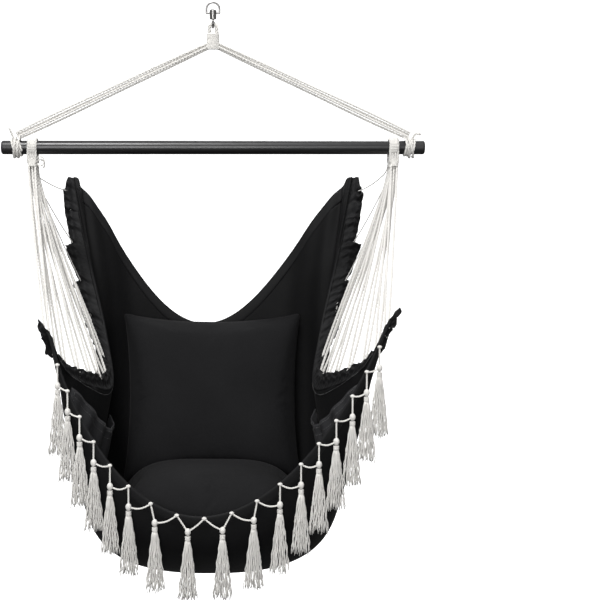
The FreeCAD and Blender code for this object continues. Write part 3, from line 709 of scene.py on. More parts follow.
class HAMMOCK_OT_top_loop(Maker, bpy.types.Operator):
    """Make the rope loop in the eye and the whipping that closes it"""
    bl_idname = "hammock.top_loop"
    bl_label = "Loop and whipping"

    def make(self, sizes):
        low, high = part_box("top_loop")
        rope = high.y - low.y
        half = (high.x - low.x) / 2 - rope / 2
        bow = high.z - rope / 2 - half
        line = [(-half * 1.1, 0, low.z)]
        line += [(-half * math.cos(t), 0, bow + half * math.sin(t))
                 for t in np.linspace(0, math.pi, 25)]
        line.append((half * 1.1, 0, low.z))
        loop = twisted("rope_loop", line, rope, strands=4, lay=3.6, sides=8, step=0.0022)
        dress(loop, "cotton_cord", "cotton_cord", "spreader", "top_loop")

        low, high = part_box("top_whipping")
        tall = high.z - low.z
        cord = 0.0034
        turns = tall / (cord * 0.93)
        wide_low = (high.x - low.x) / 2 - cord / 2
        wide_top = wide_low * 0.85
        deep = (high.y - low.y) / 2 - cord / 2
        helix = []
        for n in range(int(turns * 28)):
            share = n / (turns * 28)
            turn = share * turns * 2 * math.pi
            wide = wide_top + (wide_low - wide_top) * share
            helix.append((wide * math.cos(turn), deep * math.sin(turn), high.z - cord / 2 - share * (tall - cord)))
        wound = plain_cord("whipping_turns", helix, cord, sides=8, step=0.0022)

        # the core under the turns
        deselect()
        bpy.ops.mesh.primitive_cylinder_add(vertices=40, radius=1.0, depth=tall * 0.97,
                                            location=(0, 0, (low.z + high.z) / 2))
        core = settled(in_edit_mode(bpy.context.active_object, bpy.ops.transform.resize,
                                    value=(wide_top - cord * 0.2, deep - cord * 0.2, 1)))
        for vertex in core.data.vertices:
            if vertex.co.z < (low.z + high.z) / 2:
                vertex.co.x *= wide_low / wide_top
        shade_round(core.data)
        dress(joined("top_whipping_wound", [wound, core]), "cotton_cord", "cotton_cord", "spreader", "top_whipping")


class HAMMOCK_OT_hanger_ropes(Maker, bpy.types.Operator):
    """Lay the parallel cords from the whipping to the bar's ends"""
    bl_idname = "hammock.hanger_ropes"
    bl_label = "Hanger ropes"

    def make(self, sizes):
        whip_low, whip_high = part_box("top_whipping")
        cord = sizes.hanger_cord
        for side, sign in SIDES:
            top = Vector((sign * (whip_high.x - whip_low.x) / 4, 0, whip_low.z + 0.010))
            foot = Vector((sign * HITCH_X, 0, BAR_Z + BAR_RADIUS + 0.011))
            run = (foot - top).normalized()
            upright = Vector((-run.z, 0, run.x)).normalized() * sign
            parts = []
            for n, (lift, deep, bow) in enumerate(((-1.32, 0.25, -0.10), (-0.44, -0.5, 0.10),
                                                   (0.44, 0.5, -0.08), (1.32, -0.25, 0.12))):
                middle = (top + foot) * 0.5 + upright * (cord * (lift * 0.92 + bow))
                offset = upright * (lift * cord) + Vector((0, deep * cord, 0))
                near_top = top + upright * (lift * cord * 0.75) + Vector((0, deep * cord, 0))
                route = [near_top, near_top.lerp(middle, 0.45) + offset * 0.15,
                         middle + Vector((0, deep * cord, 0)), foot.lerp(middle, 0.35) + offset, foot + offset]
                parts.append(twisted("hanger_cord", spline_line(route), cord, 3, 4.2, 6, None, n))
            dress(joined("hanger_cords_" + side, parts), "cotton_cord", "cotton_cord", "spreader",
                  "hanger_rope_" + side)


def round_bar(x_at, radius, turns, pitch, lean, start=0.0, steps=26):
    """A helix about the bar, leaning along it."""
    line = []
    for n in range(int(turns * steps) + 1):
        turn = start + 2 * math.pi * n / steps
        z = radius * math.sin(turn)
        line.append((x_at + pitch * (n / steps - turns / 2) + lean * z, radius * math.cos(turn), BAR_Z + z))
    return line


class HAMMOCK_OT_hitches(Maker, bpy.types.Operator):
    """Wind the hanger ropes' hitches on the bar, each with its loose tail"""
    bl_idname = "hammock.hitches"
    bl_label = "Hitches"

    def make(self, sizes):
        rng = random.Random(4)
        cord = sizes.hanger_cord
        for side, sign in SIDES:
            x_at = sign * HITCH_X
            lean = sign * math.tan(math.radians(13))
            first = round_bar(x_at, BAR_RADIUS + cord / 2, 3.6, cord * 1.02, lean)
            over = round_bar(x_at, BAR_RADIUS + cord * 1.28, 1.6, cord * 1.5, -lean * 0.8, math.pi / 2)
            parts = [twisted("turns", first, cord, 3, 4.2, 6), twisted("over", over, cord, 3, 4.2, 6)]
            root = Vector((x_at + sign * cord * 1.2, -BAR_RADIUS * 0.5, BAR_Z + BAR_RADIUS + cord))
            rise = 0.020 if side == "left" else 0.012
            tip = root + Vector((sign * 0.008, -0.004, rise))
            tail = [root - Vector((0, 0, 0.008)), root, root.lerp(tip, 0.6), tip]
            if side == "right":
                tail.append(tip + Vector((0.010, -0.002, -0.004)))
            parts.append(twisted("tail", spline_line(tail), cord, 3, 4.0, 6))
            for _ in range(14):
                spread = Vector((rng.uniform(-1, 1), rng.uniform(-1, 1), rng.uniform(0.2, 1.3))) * 0.006
                start = Vector(tail[-1]) + Vector((rng.uniform(-1, 1), rng.uniform(-1, 1), 0)) * 0.0015
                parts.append(plain_cord("fray", [start, start + spread * 0.5, start + spread], 0.0008, 4, 0.002, 0.5))
            dress(joined("hitch_wound_" + side, parts), "cotton_cord", "cotton_cord", "spreader", "hitch_" + side)


class HAMMOCK_OT_cuffs(Maker, bpy.types.Operator):
    """Loop the seat's cords over the bar and wrap their necks"""
    bl_idname = "hammock.cuffs"
    bl_label = "Cuffs"

    def make(self, sizes):
        low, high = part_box("cuff_right")
        wrap = CUFF_WRAP
        for side, sign in SIDES:
            x_at = sign * CUFF_X
            parts = []
            # loops over the bar
            for n, shift in enumerate((-1.5, -0.5, 0.5, 1.5)):
                x = x_at + shift * LOOP_PITCH
                radius = BAR_RADIUS + CUFF_GAP + LOOP_SEAT
                line = [(x, radius, low.z + 0.010)]
                line += [(x + 0.0006 * math.sin(3 * t), radius * math.cos(t), BAR_Z + radius * math.sin(t))
                         for t in np.linspace(-0.25, math.pi + 0.25, 26)]
                line.append((x, -radius, low.z + 0.010))
                parts.append(twisted("bar_loop", spline_line(line, 6), LOOP_CORD, 3, 4.0, 6, None, n))
            # the cord that wraps them crosses the bar in close ribs
            outer = high.z - BAR_Z - wrap / 2
            reach = NECK_WIDTH / 2 - wrap / 2
            for turn in np.linspace(-0.45, math.pi + 0.45, RIBS):
                rib = []
                for u in (-1, -0.93, -0.6, 0, 0.6, 0.93, 1):
                    radius = outer - RIB_DROP * abs(u) ** 7
                    rib.append((x_at + u * reach, radius * math.cos(turn), BAR_Z + radius * math.sin(turn)))
                parts.append(plain_cord("rib", rib, wrap, 8, 0.003))
            # the neck, wrapped in flat turns
            half_x = NECK_WIDTH / 2 - wrap * 0.55
            half_y = NECK_DEPTH / 2 - wrap * 0.55
            top = BAR_Z - BAR_RADIUS - 0.004
            turns = (top - low.z) / (wrap * 0.92)
            helix = []
            for n in range(int(turns * 36)):
                turn = 2 * math.pi * n / 36
                c, s = math.cos(turn), math.sin(turn)
                share = n / (turns * 36)
                helix.append((x_at + half_x * math.copysign(abs(c) ** 0.55, c) * (0.94 + 0.06 * share),
                              half_y * math.copysign(abs(s) ** 0.55, s) * (0.80 + 0.20 * share),
                              top - wrap / 2 - share * (top - low.z - wrap)))
            parts.append(plain_cord("neck_wrap", helix, wrap * 1.06, 8, 0.003))
            deselect()
            bpy.ops.mesh.primitive_cube_add(size=1.0, location=(x_at, 0, (top + low.z) / 2))
            core = in_edit_mode(bpy.context.active_object, bpy.ops.transform.resize,
                                value=(NECK_WIDTH - 2.2 * wrap * 0.8, NECK_DEPTH * 0.80, top - low.z - 0.002))
            in_edit_mode(core, bpy.ops.mesh.bevel, offset=0.004, segments=3, affect="EDGES")
            parts.append(settled(core))
            if side == "left":
                root = Vector((x_at + NECK_WIDTH * 0.45, -NECK_DEPTH * 0.25, BAR_Z - BAR_RADIUS - 0.012))
                loop = [root + Vector((0.009 * (1 - math.cos(n * 0.52)), -0.003 * math.sin(n * 0.26),
                                       0.009 * math.sin(n * 0.52) - 0.0006 * n)) for n in range(21)]
                parts.append(twisted("spare_loop", loop, SPARE_CORD, 2, 4.5, 6))
            dress(joined("cuff_wrapped_" + side, parts), "cotton_cord", "cotton_cord", "seat", "cuff_" + side)


class HAMMOCK_OT_support_cords(Maker, bpy.types.Operator):
    """Hang the doubled cords that carry the seat"""
    bl_idname = "hammock.support_cords"
    bl_label = "Support cords"

    def make(self, sizes):
        for side, sign in SIDES:
            for number in range(len(CORD_SHARES)):
                name = "support_cord_%s_%d" % (side, number + 1)
                line = spline_line(cord_route(sign, number), 28)
                path, travel = evenly(line, 0.004)
                piece = twisted(name + "_laid", line, sizes.cord, 3, 4.2, 6, 0.0052, number)
                dress(piece, "cotton_cord", "cotton_cord", "seat", name)


class HAMMOCK_OT_back_strings(Maker, bpy.types.Operator):
    """Hang the thin strings that hold up the back"""
    bl_idname = "hammock.back_strings"
    bl_label = "Back strings"

    def make(self, sizes):
        for side, sign in SIDES:
            for number in range(len(STRING_SHARES)):
                name = "back_string_%s_%d" % (side, number + 1)
                line = spline_line(string_route(sign, number), 24)
                path, travel = evenly(line, 0.003)
                piece = twisted(name + "_laid", line, sizes.string, 2, 5.0, 6, 0.003, number)
                dress(piece, "cotton_cord", "cotton_cord", "seat", name)


# ---------------------------------------------------------------- the seat's cloth


def fold(share, across):
    """Soft folds of the cloth: long ones down the back's wings, short ones at the front tips."""
    q = abs(across)
    wing = max(0.0, 1 - share / 0.42)
    long_fold = 0.0120 * wing ** 0.8 * (math.sin((q - 0.30 - 0.2 * share) * 21) + 0.35 * math.sin(q * 47 + share * 9))
    long_fold *= math.exp(-((q - 0.72) / 0.24) ** 2)
    tip = max(0.0, (share - 0.62) / 0.38) * max(0.0, (q - 0.62) / 0.38)
    pleat = 0.0045 * tip * math.sin(share * 68 + q * 9)
    belly = 0.0012 * math.sin(across * 9.5 + share * 5) * math.sin(share * 15 + across * 3)
    return belly - long_fold - pleat


def seat_surface(share, across):
    return seat_point(share, across) + inward(share, across) * fold(share, across)


def rolled_hem(name, near, far, thick, columns=150):
    """A rolled hem along a stretch of the cloth, its section a flat round."""
    sections = []
    for j in range(columns + 1):
        across = 2 * j / columns - 1
        section = []
        for n in range(14):
            turn = 2 * math.pi * n / 14
            c, s = math.cos(turn), math.sin(turn)
            share = (near + far) / 2 + (far - near) / 2 * math.copysign(abs(c) ** 0.75, c)
            lift = thick / 2 * math.copysign(abs(s) ** 0.8, s) + 0.0004 * math.sin(across * 210)
            section.append(seat_point(share, across) + inward(share, across) * (lift + fold(share, across) * 0.8))
        sections.append(section)
    return loft(name, sections)


class HAMMOCK_OT_sling(Maker, bpy.types.Operator):
    """Drape the seat's cloth with its rolled front and back hems"""
    bl_idname = "hammock.sling"
    bl_label = "Seat cloth"

    def make(self, sizes):
        def point(i, j):
            return seat_surface(BACK_SHARE - 0.004 + (RIM_SHARE - BACK_SHARE + 0.008) * i, 2 * j - 1)
        cloth, wide, deep, area = sheet_object("seat_cloth_draped", point, 110, 132, sizes.cloth)
        dress(cloth, "seat_cloth", "seat_cloth", "seat", "sling")
        rim = rolled_hem("front_hem_rolled", RIM_SHARE - 0.004, 0.9995, sizes.rim * 1.1)
        dress(rim, "hem_cloth", "seat_cloth", "seat", "front_rim")
        back = rolled_hem("back_hem_rolled", 0.0005, BACK_SHARE, sizes.rim)
        dress(back, "hem_cloth", "seat_cloth", "seat", "back_hem")


def stitches(name, place_at, count, offset=0.0009):
    """A row of short thread stitches along place_at(share)."""
    parts = []
    for n in range(count):
        a = place_at((n + 0.18) / count)
        b = place_at((n + 0.82) / count)
        parts.append((a, (a + b) * 0.5, b))
    points = []
    faces = []
    uvs = []
    for a, middle, b in parts:
        line = np.array([a, middle, b])
        across, beyond = frames_along(line)
        base = len(points)
        for i in range(3):
            for turn in (0, math.pi / 2, math.pi, 3 * math.pi / 2):
                points.append(line[i] + offset / 2 * (math.cos(turn) * across[i] + math.sin(turn) * beyond[i]))
        for i in range(2):
            for j in range(4):
                k = (j + 1) % 4
                faces.append((base + 4 * i + j, base + 4 * i + k, base + 4 * i + 4 + k, base + 4 * i + 4 + j))
                uvs += [(j / 4, i), (j / 4 + 0.25, i), (j / 4 + 0.25, i + 1), (j / 4, i + 1)]
        faces.append((base + 3, base + 2, base + 1, base))
        faces.append((base + 8, base + 9, base + 10, base + 11))
        uvs += [(0, 0)] * 8
    return mesh_object(name, points, faces, uvs)


ROPE_DEPTH = 0.68
ROPE_THIN = 0.6
HEM_ROWS = 420
HEM_COLUMNS = 12
HEM_START = -0.12
HEM_LAYER = 0.0012
HEM_THICK = 0.0022


def hem_reach(share, sign):
    """How far the gathered hem stands out, 1 at its usual edge: lobes between the strings, frayed at the tips."""
    stops = [-0.02] + STRING_SHARES[1:] + CORD_SHARES
    last = max(stop for stop in stops if stop <= share)
    following = min([stop for stop in stops if stop > share] or [1.04])
    lobe = (share - last) / (following - last)
    high = 0.46 if share < CORD_SHARES[0] else 0.07
    if share > CORD_SHARES[-1]:
        high = 0.30
    out = min(1.0, lobe / 0.09) * (1 - lobe) ** 0.75
    ragged = 0.035 * math.sin(share * 260 + sign) + 0.03 * math.sin(share * 118 + 2 * sign)
    base = 0.88 if share < CORD_SHARES[0] else 1.16 if share < CORD_SHARES[-1] else 0.98
    tip = min(1.0, (share + 0.012) / 0.055) ** 0.6
    return (base + high * out + ragged * (0.4 + 0.6 * out)) * tip


def hem_waves(sign):
    """Length, shift, height and slant of each wave in the gathers."""
    rng = random.Random(11 if sign < 0 else 23)
    return [(rng.uniform(16, 62), rng.uniform(0, 6.28), rng.uniform(0.5, 1.0), rng.uniform(-2.5, 2.5))
            for _ in range(7)]


def hem_cover(depth, rope):
    """How far the inner layer of the hem stands over the rope."""
    rise = min(max((depth - 0.30) / 0.40, 0.0), 1.0)
    return HEM_LAYER + 0.75 * rope * rise * rise * (3 - 2 * rise)


def hem_middle(share, depth, sign, waves, ruffle):
    """A point inside the gathered hem, with the ways towards the sitter and along it."""
    inner = seat_point(share, sign)
    outer = hem_point(share, sign)
    ahead = (hem_point(min(share + 0.004, 1), sign) - hem_point(max(share - 0.004, 0), sign)).normalized()
    lift_way = ahead.cross(outer - inner).normalized()
    if lift_way.dot(inward(share, sign * 0.97)) < 0:
        lift_way = -lift_way
    wave = sum(high * math.sin(2 * math.pi * often * share + shift + slant * depth)
               for often, shift, high, slant in waves) / 3.0
    sway = ruffle * wave * max(depth, 0.0) ** 0.7 * (1.0 if share < CORD_SHARES[0] else 0.75)
    return inner + (outer - inner) * depth + lift_way * sway, lift_way, ahead


class HAMMOCK_OT_side_hems(Maker, bpy.types.Operator):
    """Gather the ruffled side hems round their ropes"""
    bl_idname = "hammock.side_hems"
    bl_label = "Side hems"

    def make(self, sizes):
        rope = sizes.edge_rope
        for side, sign in SIDES:
            waves = hem_waves(sign)
            sections = []
            for i in range(HEM_ROWS + 1):
                a = 0.002 + 0.996 * i / HEM_ROWS
                reach = hem_reach(a, sign)
                top = []
                under = []
                for n in range(HEM_COLUMNS + 1):
                    b = HEM_START + (reach - HEM_START) * n / HEM_COLUMNS
                    middle, lift_way, ahead = hem_middle(a, b, sign, waves, sizes.ruffle)
                    middle += ahead * (0.0035 * max(b, 0) * math.sin(2 * math.pi * 31 * a + 1.3 * n))
                    casing = HEM_LAYER + rope * 0.55 * math.exp(-((b - ROPE_DEPTH) / 0.17) ** 2)
                    cover = hem_cover(b, rope)
                    beyond = min(max((b - ROPE_DEPTH - 0.05) / 0.16, 0.0), 1.0)
                    top.append(middle + lift_way * cover)
                    under.append(middle + lift_way * ((cover - HEM_THICK) * beyond - casing * (1 - beyond)))
                sections.append(top + under[::-1])
            hem = loft("side_hem_gathered_" + side, sections)
            dress(hem, "hem_cloth", "seat_cloth", "seat", "side_hem_" + side)

            def seam(share, sign=sign):
                a = 0.01 + 0.97 * share
                inner = seat_point(a, sign * 0.985)
                return inner + inward(a, sign * 0.985) * (0.0024 + fold(a, sign * 0.985))
            line = stitches("side_seam_" + side, seam, 190)
            dress(line, "thread", "seat_cloth", "seat")


class HAMMOCK_OT_edge_ropes(Maker, bpy.types.Operator):
    """Run a rope inside each side hem, thin enough for the cloth to hide it"""
    bl_idname = "hammock.edge_ropes"
    bl_label = "Edge ropes"

    def make(self, sizes):
        for side, sign in SIDES:
            waves = hem_waves(sign)
            line = []
            for i in range(161):
                middle, lift_way, _ = hem_middle(0.025 + 0.93 * i / 160, ROPE_DEPTH, sign, waves, sizes.ruffle)
                line.append(middle + lift_way * 0.0005)
            rope = twisted("edge_rope_laid_" + side, line, sizes.edge_rope * ROPE_THIN, 3, 4.0, 6)
            dress(rope, "cotton_cord", "cotton_cord", "seat", "edge_rope_" + side)


POCKET_BACK, POCKET_FRONT, POCKET_LOW, POCKET_HIGH = 0.50, 0.80, 0.66, 0.90
POCKET_ROOM = 0.024
POCKET_THICK = 0.0016
POCKET_CLEAR = 0.0012 + POCKET_THICK / 2 + 0.00035
STITCH_LIFT = 0.0012


class HAMMOCK_OT_pockets(Maker, bpy.types.Operator):
    """Sew a pocket on each inner wall, with a double-stitched top"""
    bl_idname = "hammock.pockets"
    bl_label = "Pockets"

    def make(self, sizes):
        for side, sign in SIDES:
            slant = 0.02 if side == "left" else 0.0

            def point(a, b, lift=0.0, sign=sign, slant=slant):
                share = POCKET_BACK + (POCKET_FRONT - POCKET_BACK) * a
                top = POCKET_HIGH - slant * (1 - a) ** 1.2
                across = sign * (POCKET_LOW + (top - POCKET_LOW) * b)
                belly = math.sin(math.pi * min(max(a, 0), 1)) ** 0.6 * math.sin(math.pi / 2 * b) ** 0.8
                pucker = 0.0012 * math.sin(a * 31 + b * 4) * (1 - b * 0.6)
                hem = 0.0022 if b > 0.90 else 0.0
                stand = POCKET_CLEAR + (POCKET_ROOM + pucker * 8) * belly * 0.96 + hem + lift
                return seat_point(share, across) + inward(share, across) * stand
            cloth, wide, tall, area = sheet_object("pocket_sewn_" + side, lambda i, j: point(j, i), 30, 46,
                                                   POCKET_THICK)
            rows = []
            for b in (0.86, 0.955):
                rows.append(stitches("pocket_stitches", lambda share, b=b: point(0.03 + 0.94 * share, b, STITCH_LIFT),
                                     46, 0.0010))
            for a in (0.025, 0.975):
                rows.append(stitches("pocket_stitches", lambda share, a=a: point(a, 0.04 + 0.9 * share, STITCH_LIFT),
                                     30, 0.0010))
            dress(cloth, "pocket_cloth", "seat_cloth", "seat", "pocket_" + side)
            sewing = dress(joined("pocket_stitching_" + side, rows), "thread", "seat_cloth", "seat")


# ---------------------------------------------------------------- cushions

BACK_CUSHION = ((-0.002, 0.133, -0.818), (-0.002, 0.222, -0.418))
SEAT_CUSHION = ((-0.006, 0.092, -0.818), (-0.006, -0.240, -0.826))


def cushion_axes(ends):
    one, other = place(*ends[0]), place(*ends[1])
    long_way = (other - one).normalized()
    wide_way = Vector((1, 0, 0))
    return (one + other) * 0.5, wide_way, long_way, wide_way.cross(long_way).normalized()


def cushion_shape(name, ends, wide, tall, thick, shrink):
    """The unfilled cover: two crowned faces that meet in a seam."""
    middle, wide_way, long_way, out = cushion_axes(ends)
    count = 30
    points = []
    faces = []
    for side in (-1, 1):
        for i in range(count + 1):
            for j in range(count + 1):
                u = math.sin((i / count - 0.5) * math.pi)
                v = math.sin((j / count - 0.5) * math.pi)
                pull_u = 1 - 0.07 * (1 - v * v)
                pull_v = 1 - 0.10 * (1 - u * u)
                swell = ((1 - u ** 4) * (1 - v ** 4)) ** 0.62
                rise = side * (0.0028 + (thick / 2 - 0.003) * swell)
                points.append(middle + wide_way * (u * (wide / 2 - shrink) * pull_u)
                              + long_way * (v * (tall / 2 - shrink) * pull_v) + out * rise)
    layer = (count + 1) ** 2

    def at(side, i, j):
        return side * layer + i * (count + 1) + j
    for i in range(count):
        for j in range(count):
            faces.append((at(0, i, j), at(0, i, j + 1), at(0, i + 1, j + 1), at(0, i + 1, j)))
            faces.append((at(1, i, j), at(1, i + 1, j), at(1, i + 1, j + 1), at(1, i, j + 1)))
    rim = [(i, 0) for i in range(count)] + [(count, j) for j in range(count)]
    rim += [(i, count) for i in range(count, 0, -1)] + [(0, j) for j in range(count, 0, -1)]
    for (a, b), (c, d) in zip(rim, rim[1:] + rim[:1]):
        faces.append((at(0, a, b), at(0, c, d), at(1, c, d), at(1, a, b)))
    return in_edit_mode(mesh_object(name, points, faces), bpy.ops.mesh.normals_make_consistent, inside=False)


def positions(mesh):
    co = np.zeros(len(mesh.vertices) * 3)
    mesh.vertices.foreach_get("co", co)
    return co.reshape(-1, 3)


def fill_up(obj, pressure, cap):
    """Blow the cover up like a filled cushion, each point moving no further than cap."""
    even = obj.modifiers.new("even", "REMESH")
    even.mode = "VOXEL"
    even.voxel_size = 0.0055
    apply_all(obj)
    before = positions(obj.data)
    cloth = obj.modifiers.new("filling", "CLOTH")
    cloth.settings.quality = 6
    cloth.settings.mass = 0.3
    cloth.settings.tension_stiffness = 22
    cloth.settings.compression_stiffness = 10
    cloth.settings.bending_stiffness = 0.6
    cloth.settings.use_pressure = True
    cloth.settings.uniform_pressure_force = pressure
    cloth.settings.effector_weights.gravity = 0
    cloth.point_cache.frame_start = 1
    cloth.point_cache.frame_end = 20
    scene = bpy.context.scene
    for number in range(1, 21):
        scene.frame_set(number)
    seen = obj.evaluated_get(bpy.context.evaluated_depsgraph_get())
    move = positions(seen.data) - before
    reach = np.linalg.norm(move, axis=1)
    move *= (cap * np.tanh(reach / cap) / np.maximum(reach, 1e-9))[:, None]
    obj.modifiers.remove(cloth)
    obj.data.vertices.foreach_set("co", (before + move).ravel())
    scene.frame_set(1)
    smooth = obj.modifiers.new("round", "SUBSURF")
    smooth.levels = smooth.render_levels = 1
    apply_all(obj)
    shade_round(obj.data)
    return obj


def lay_uvs(obj, ends):
    """UVs in metres, square to the cushion's face."""
    middle, wide_way, long_way, _ = cushion_axes(ends)
    co = positions(obj.data) - np.array(middle)
    loops = np.zeros(len(obj.data.loops), dtype=np.int64)
    obj.data.loops.foreach_get("vertex_index", loops)
    layer = obj.data.uv_layers.new(name="UVMap")
    pairs = np.stack([co @ np.array(wide_way), co @ np.array(long_way)], axis=1)[loops]
    layer.data.foreach_set("uv", pairs.astype(np.float32).ravel())


def seam_welt(name, obj, ends, diameter=0.0026):
    """The raised seam where the two faces meet, found on the filled cover."""
    middle, wide_way, long_way, _ = cushion_axes(ends)
    tree = BVHTree.FromObject(obj, bpy.context.evaluated_depsgraph_get())
    line = []
    for n in range(241):
        turn = 2 * math.pi * (n % 240) / 240
        c, s = math.cos(turn), math.sin(turn)
        way = (wide_way * math.copysign(abs(c) ** 0.35, c) + long_way * math.copysign(abs(s) ** 0.35, s)).normalized()
        hit = tree.ray_cast(middle + way * 0.6, -way)[0]
        if hit is not None:
            line.append(hit - way * (diameter * 0.15))
    return plain_cord(name, line, diameter, 6, 0.005)


def make_cushion(name, ends, wide, tall, thick, nodes, body):
    shape = cushion_shape(name, ends, wide, tall, thick * 0.93, -0.004)
    fill_up(shape, 4.0, 0.006)
    lay_uvs(shape, ends)
    welt = seam_welt(name + "_seam", shape, ends)
    dress(shape, "cushion_cloth", "cushion_cloth", body, *nodes)
    dress(welt, "cushion_cloth", "cushion_cloth", body)


class HAMMOCK_OT_back_cushion(Maker, bpy.types.Operator):
    """Fill the square cushion that leans on the back"""
    bl_idname = "hammock.back_cushion"
    bl_label = "Back cushion"

    def make(self, sizes):
        make_cushion("back_cushion", BACK_CUSHION, 0.446, 0.422, 0.130,
                     ("back_cushion_cover", "back_cushion_fill"), "back_cushion")


class HAMMOCK_OT_seat_cushion(Maker, bpy.types.Operator):
    """Fill the cushion that lies on the seat"""
    bl_idname = "hammock.seat_cushion"
    bl_label = "Seat cushion"

    def make(self, sizes):
        make_cushion("seat_cushion", SEAT_CUSHION, 0.406, 0.338, 0.186,
                     ("seat_cushion_cover", "seat_cushion_fill"), "seat_cushion")


# ---------------------------------------------------------------- fringe and tassels

FRINGE_FIRST = -68
FRINGE_LAST = 71
FRINGE_CORD = 0.004
TASSELS = 17
STEPS = 400


def fringe_peaks():
    """Places on the rim, evenly spaced along it, where the fringe cord is sewn on."""
    line = [seat_turned(1, math.radians(FRINGE_FIRST + (FRINGE_LAST - FRINGE_FIRST) * i / STEPS))
            for i in range(STEPS + 1)]
    run = [0.0]
    for a, b in zip(line, line[1:]):
        run.append(run[-1] + (b - a).length)
    forward = Vector((0, -0.003 - FRINGE_CORD / 2 - 0.0004, -0.004))
    peaks = []
    for k in range(TASSELS + 1):
        want = run[-1] * k / TASSELS
        nearest = min(range(STEPS + 1), key=lambda n: abs(run[n] - want))
        peaks.append(line[nearest] + forward)
    return peaks


def fringe_knots(peaks):
    """Where each tassel hangs: midway on a level stretch, under the upper end on a steep one."""
    knots = []
    for a, b in zip(peaks, peaks[1:]):
        high, low = (a, b) if a.z > b.z else (b, a)
        steep = min(1.0, abs(a.z - b.z) / (b - a).length / 0.6)
        at = high + (low - high) * (0.5 * (1 - steep))
        knots.append(Vector((at.x, at.y - 0.003, high.z - 0.033 - 0.011 * steep)))
    return knots


class HAMMOCK_OT_fringe(Maker, bpy.types.Operator):
    """Sew the zigzag cord along the front rim"""
    bl_idname = "hammock.fringe"
    bl_label = "Fringe cord"

    def make(self, sizes):
        peaks = fringe_peaks()
        knots = fringe_knots(peaks)
        route = [peaks[0]]
        for before, knot, after in zip(peaks, knots, peaks[1:]):
            for a, b in ((before, knot), (knot, after)):
                way = b - a
                loose = max(0.0, 1 - abs(way.z) / way.length * 1.15) * 0.22
                sag = Vector((0, 0, -loose * way.length))
                route += [a + way * 0.14 + sag * 0.45, a + way * 0.5 + sag, a + way * 0.86 + sag * 0.45, b]
        cord = twisted("fringe_cord_laid", spline_line(route, 6), FRINGE_CORD, 3, 4.0, 6, 0.0026)
        parts = [cord]
        # a small knot where the cord is caught on the hem
        deselect()
        bpy.ops.mesh.primitive_ico_sphere_add(subdivisions=3, radius=0.0042, location=(0, 0, 0))
        knot_shape = in_edit_mode(bpy.context.active_object, bpy.ops.transform.resize, value=(1.15, 0.9, 0.85))
        for peak in peaks:
            copy = copied(knot_shape)
            copy.data.transform(copy.matrix_world)
            for vertex in copy.data.vertices:
                twist = 1 + 0.12 * math.sin(9 * math.atan2(vertex.co.z, vertex.co.x) + 900 * vertex.co.y)
                vertex.co = peak + vertex.co * twist
            parts.append(copy)
        bpy.data.objects.remove(knot_shape)
        dress(joined("fringe_cord_sewn", parts), "tassel_yarn", "tassel_yarn", "seat", "fringe_cord")


def tassel_head(size):
    """The tied top of a tassel, about its own hanging point."""
    deselect()
    bpy.ops.mesh.primitive_uv_sphere_add(segments=20, ring_count=12, radius=size, location=(0, 0, -size * 0.7))
    ball = settled(in_edit_mode(bpy.context.active_object, bpy.ops.transform.resize, value=(0.98, 0.98, 1.35)))
    for vertex in ball.data.vertices:
        x, y, z = vertex.co
        turn = math.atan2(y, x)
        ridge = 1 + 0.06 * math.cos(14 * turn)
        vertex.co = (x * ridge, y * ridge, z)
    rings = [ball]
    for n in range(4):
        deselect()
        bpy.ops.mesh.primitive_torus_add(major_radius=size * 0.80, minor_radius=size * 0.19,
                                         major_segments=20, minor_segments=8,
                                         location=(0, 0, -size * (2.35 + 0.33 * n)))
        rings.append(settled(bpy.context.active_object))
    return joined("tassel_head", rings)


def skirt(name, knot, sizes, rng):
    """The strands of one tassel, crimped and spreading to the foot."""
    head = 0.0065
    top = knot + Vector((0, 0, head * 0.6))
    tall = sizes.tassel
    flare = sizes.tassel_flare / 2
    levels = 12
    lines = []
    for n in range(sizes.strands):
        lock = n // 4
        turn = 2 * math.pi * (lock + 0.22 * (n % 4) + rng.uniform(-0.08, 0.08)) * 4 / sizes.strands
        ring = 1.0 if n % 2 else 0.62
        ring *= rng.uniform(0.86, 1.0)
        phase = rng.uniform(0, 6.28)
        end = rng.uniform(0.93, 0.997) - 0.03 * (lock % 3 == 0)
        line = []
        for i in range(levels + 1):
            share = 0.13 + (end - 0.13) * i / levels
            spread = (share - 0.13) / 0.87
            wide = head * 0.62 + (flare - head * 0.62) * spread ** 0.8
            deep = head * 0.62 + (head * 1.45 - head * 0.62) * spread ** 0.7
            crimp = 0.0016 * spread ** 0.4 * math.sin(i * 2.1 + phase)
            line.append((top.x + math.cos(turn) * wide * ring + crimp,
                         top.y + math.sin(turn) * deep * ring + crimp * math.cos(phase),
                         top.z - share * tall))
        lines.append(np.array(line))
    across = np.tile([1.0, 0, 0], (levels + 1, 1))
    beyond = np.tile([0, -1.0, 0], (levels + 1, 1))
    radius = np.full(levels + 1, 0.00105)
    radius[-1] = 0.0007
    return tubes(name, lines, across, beyond, radius, 4, np.linspace(0, tall, levels + 1))


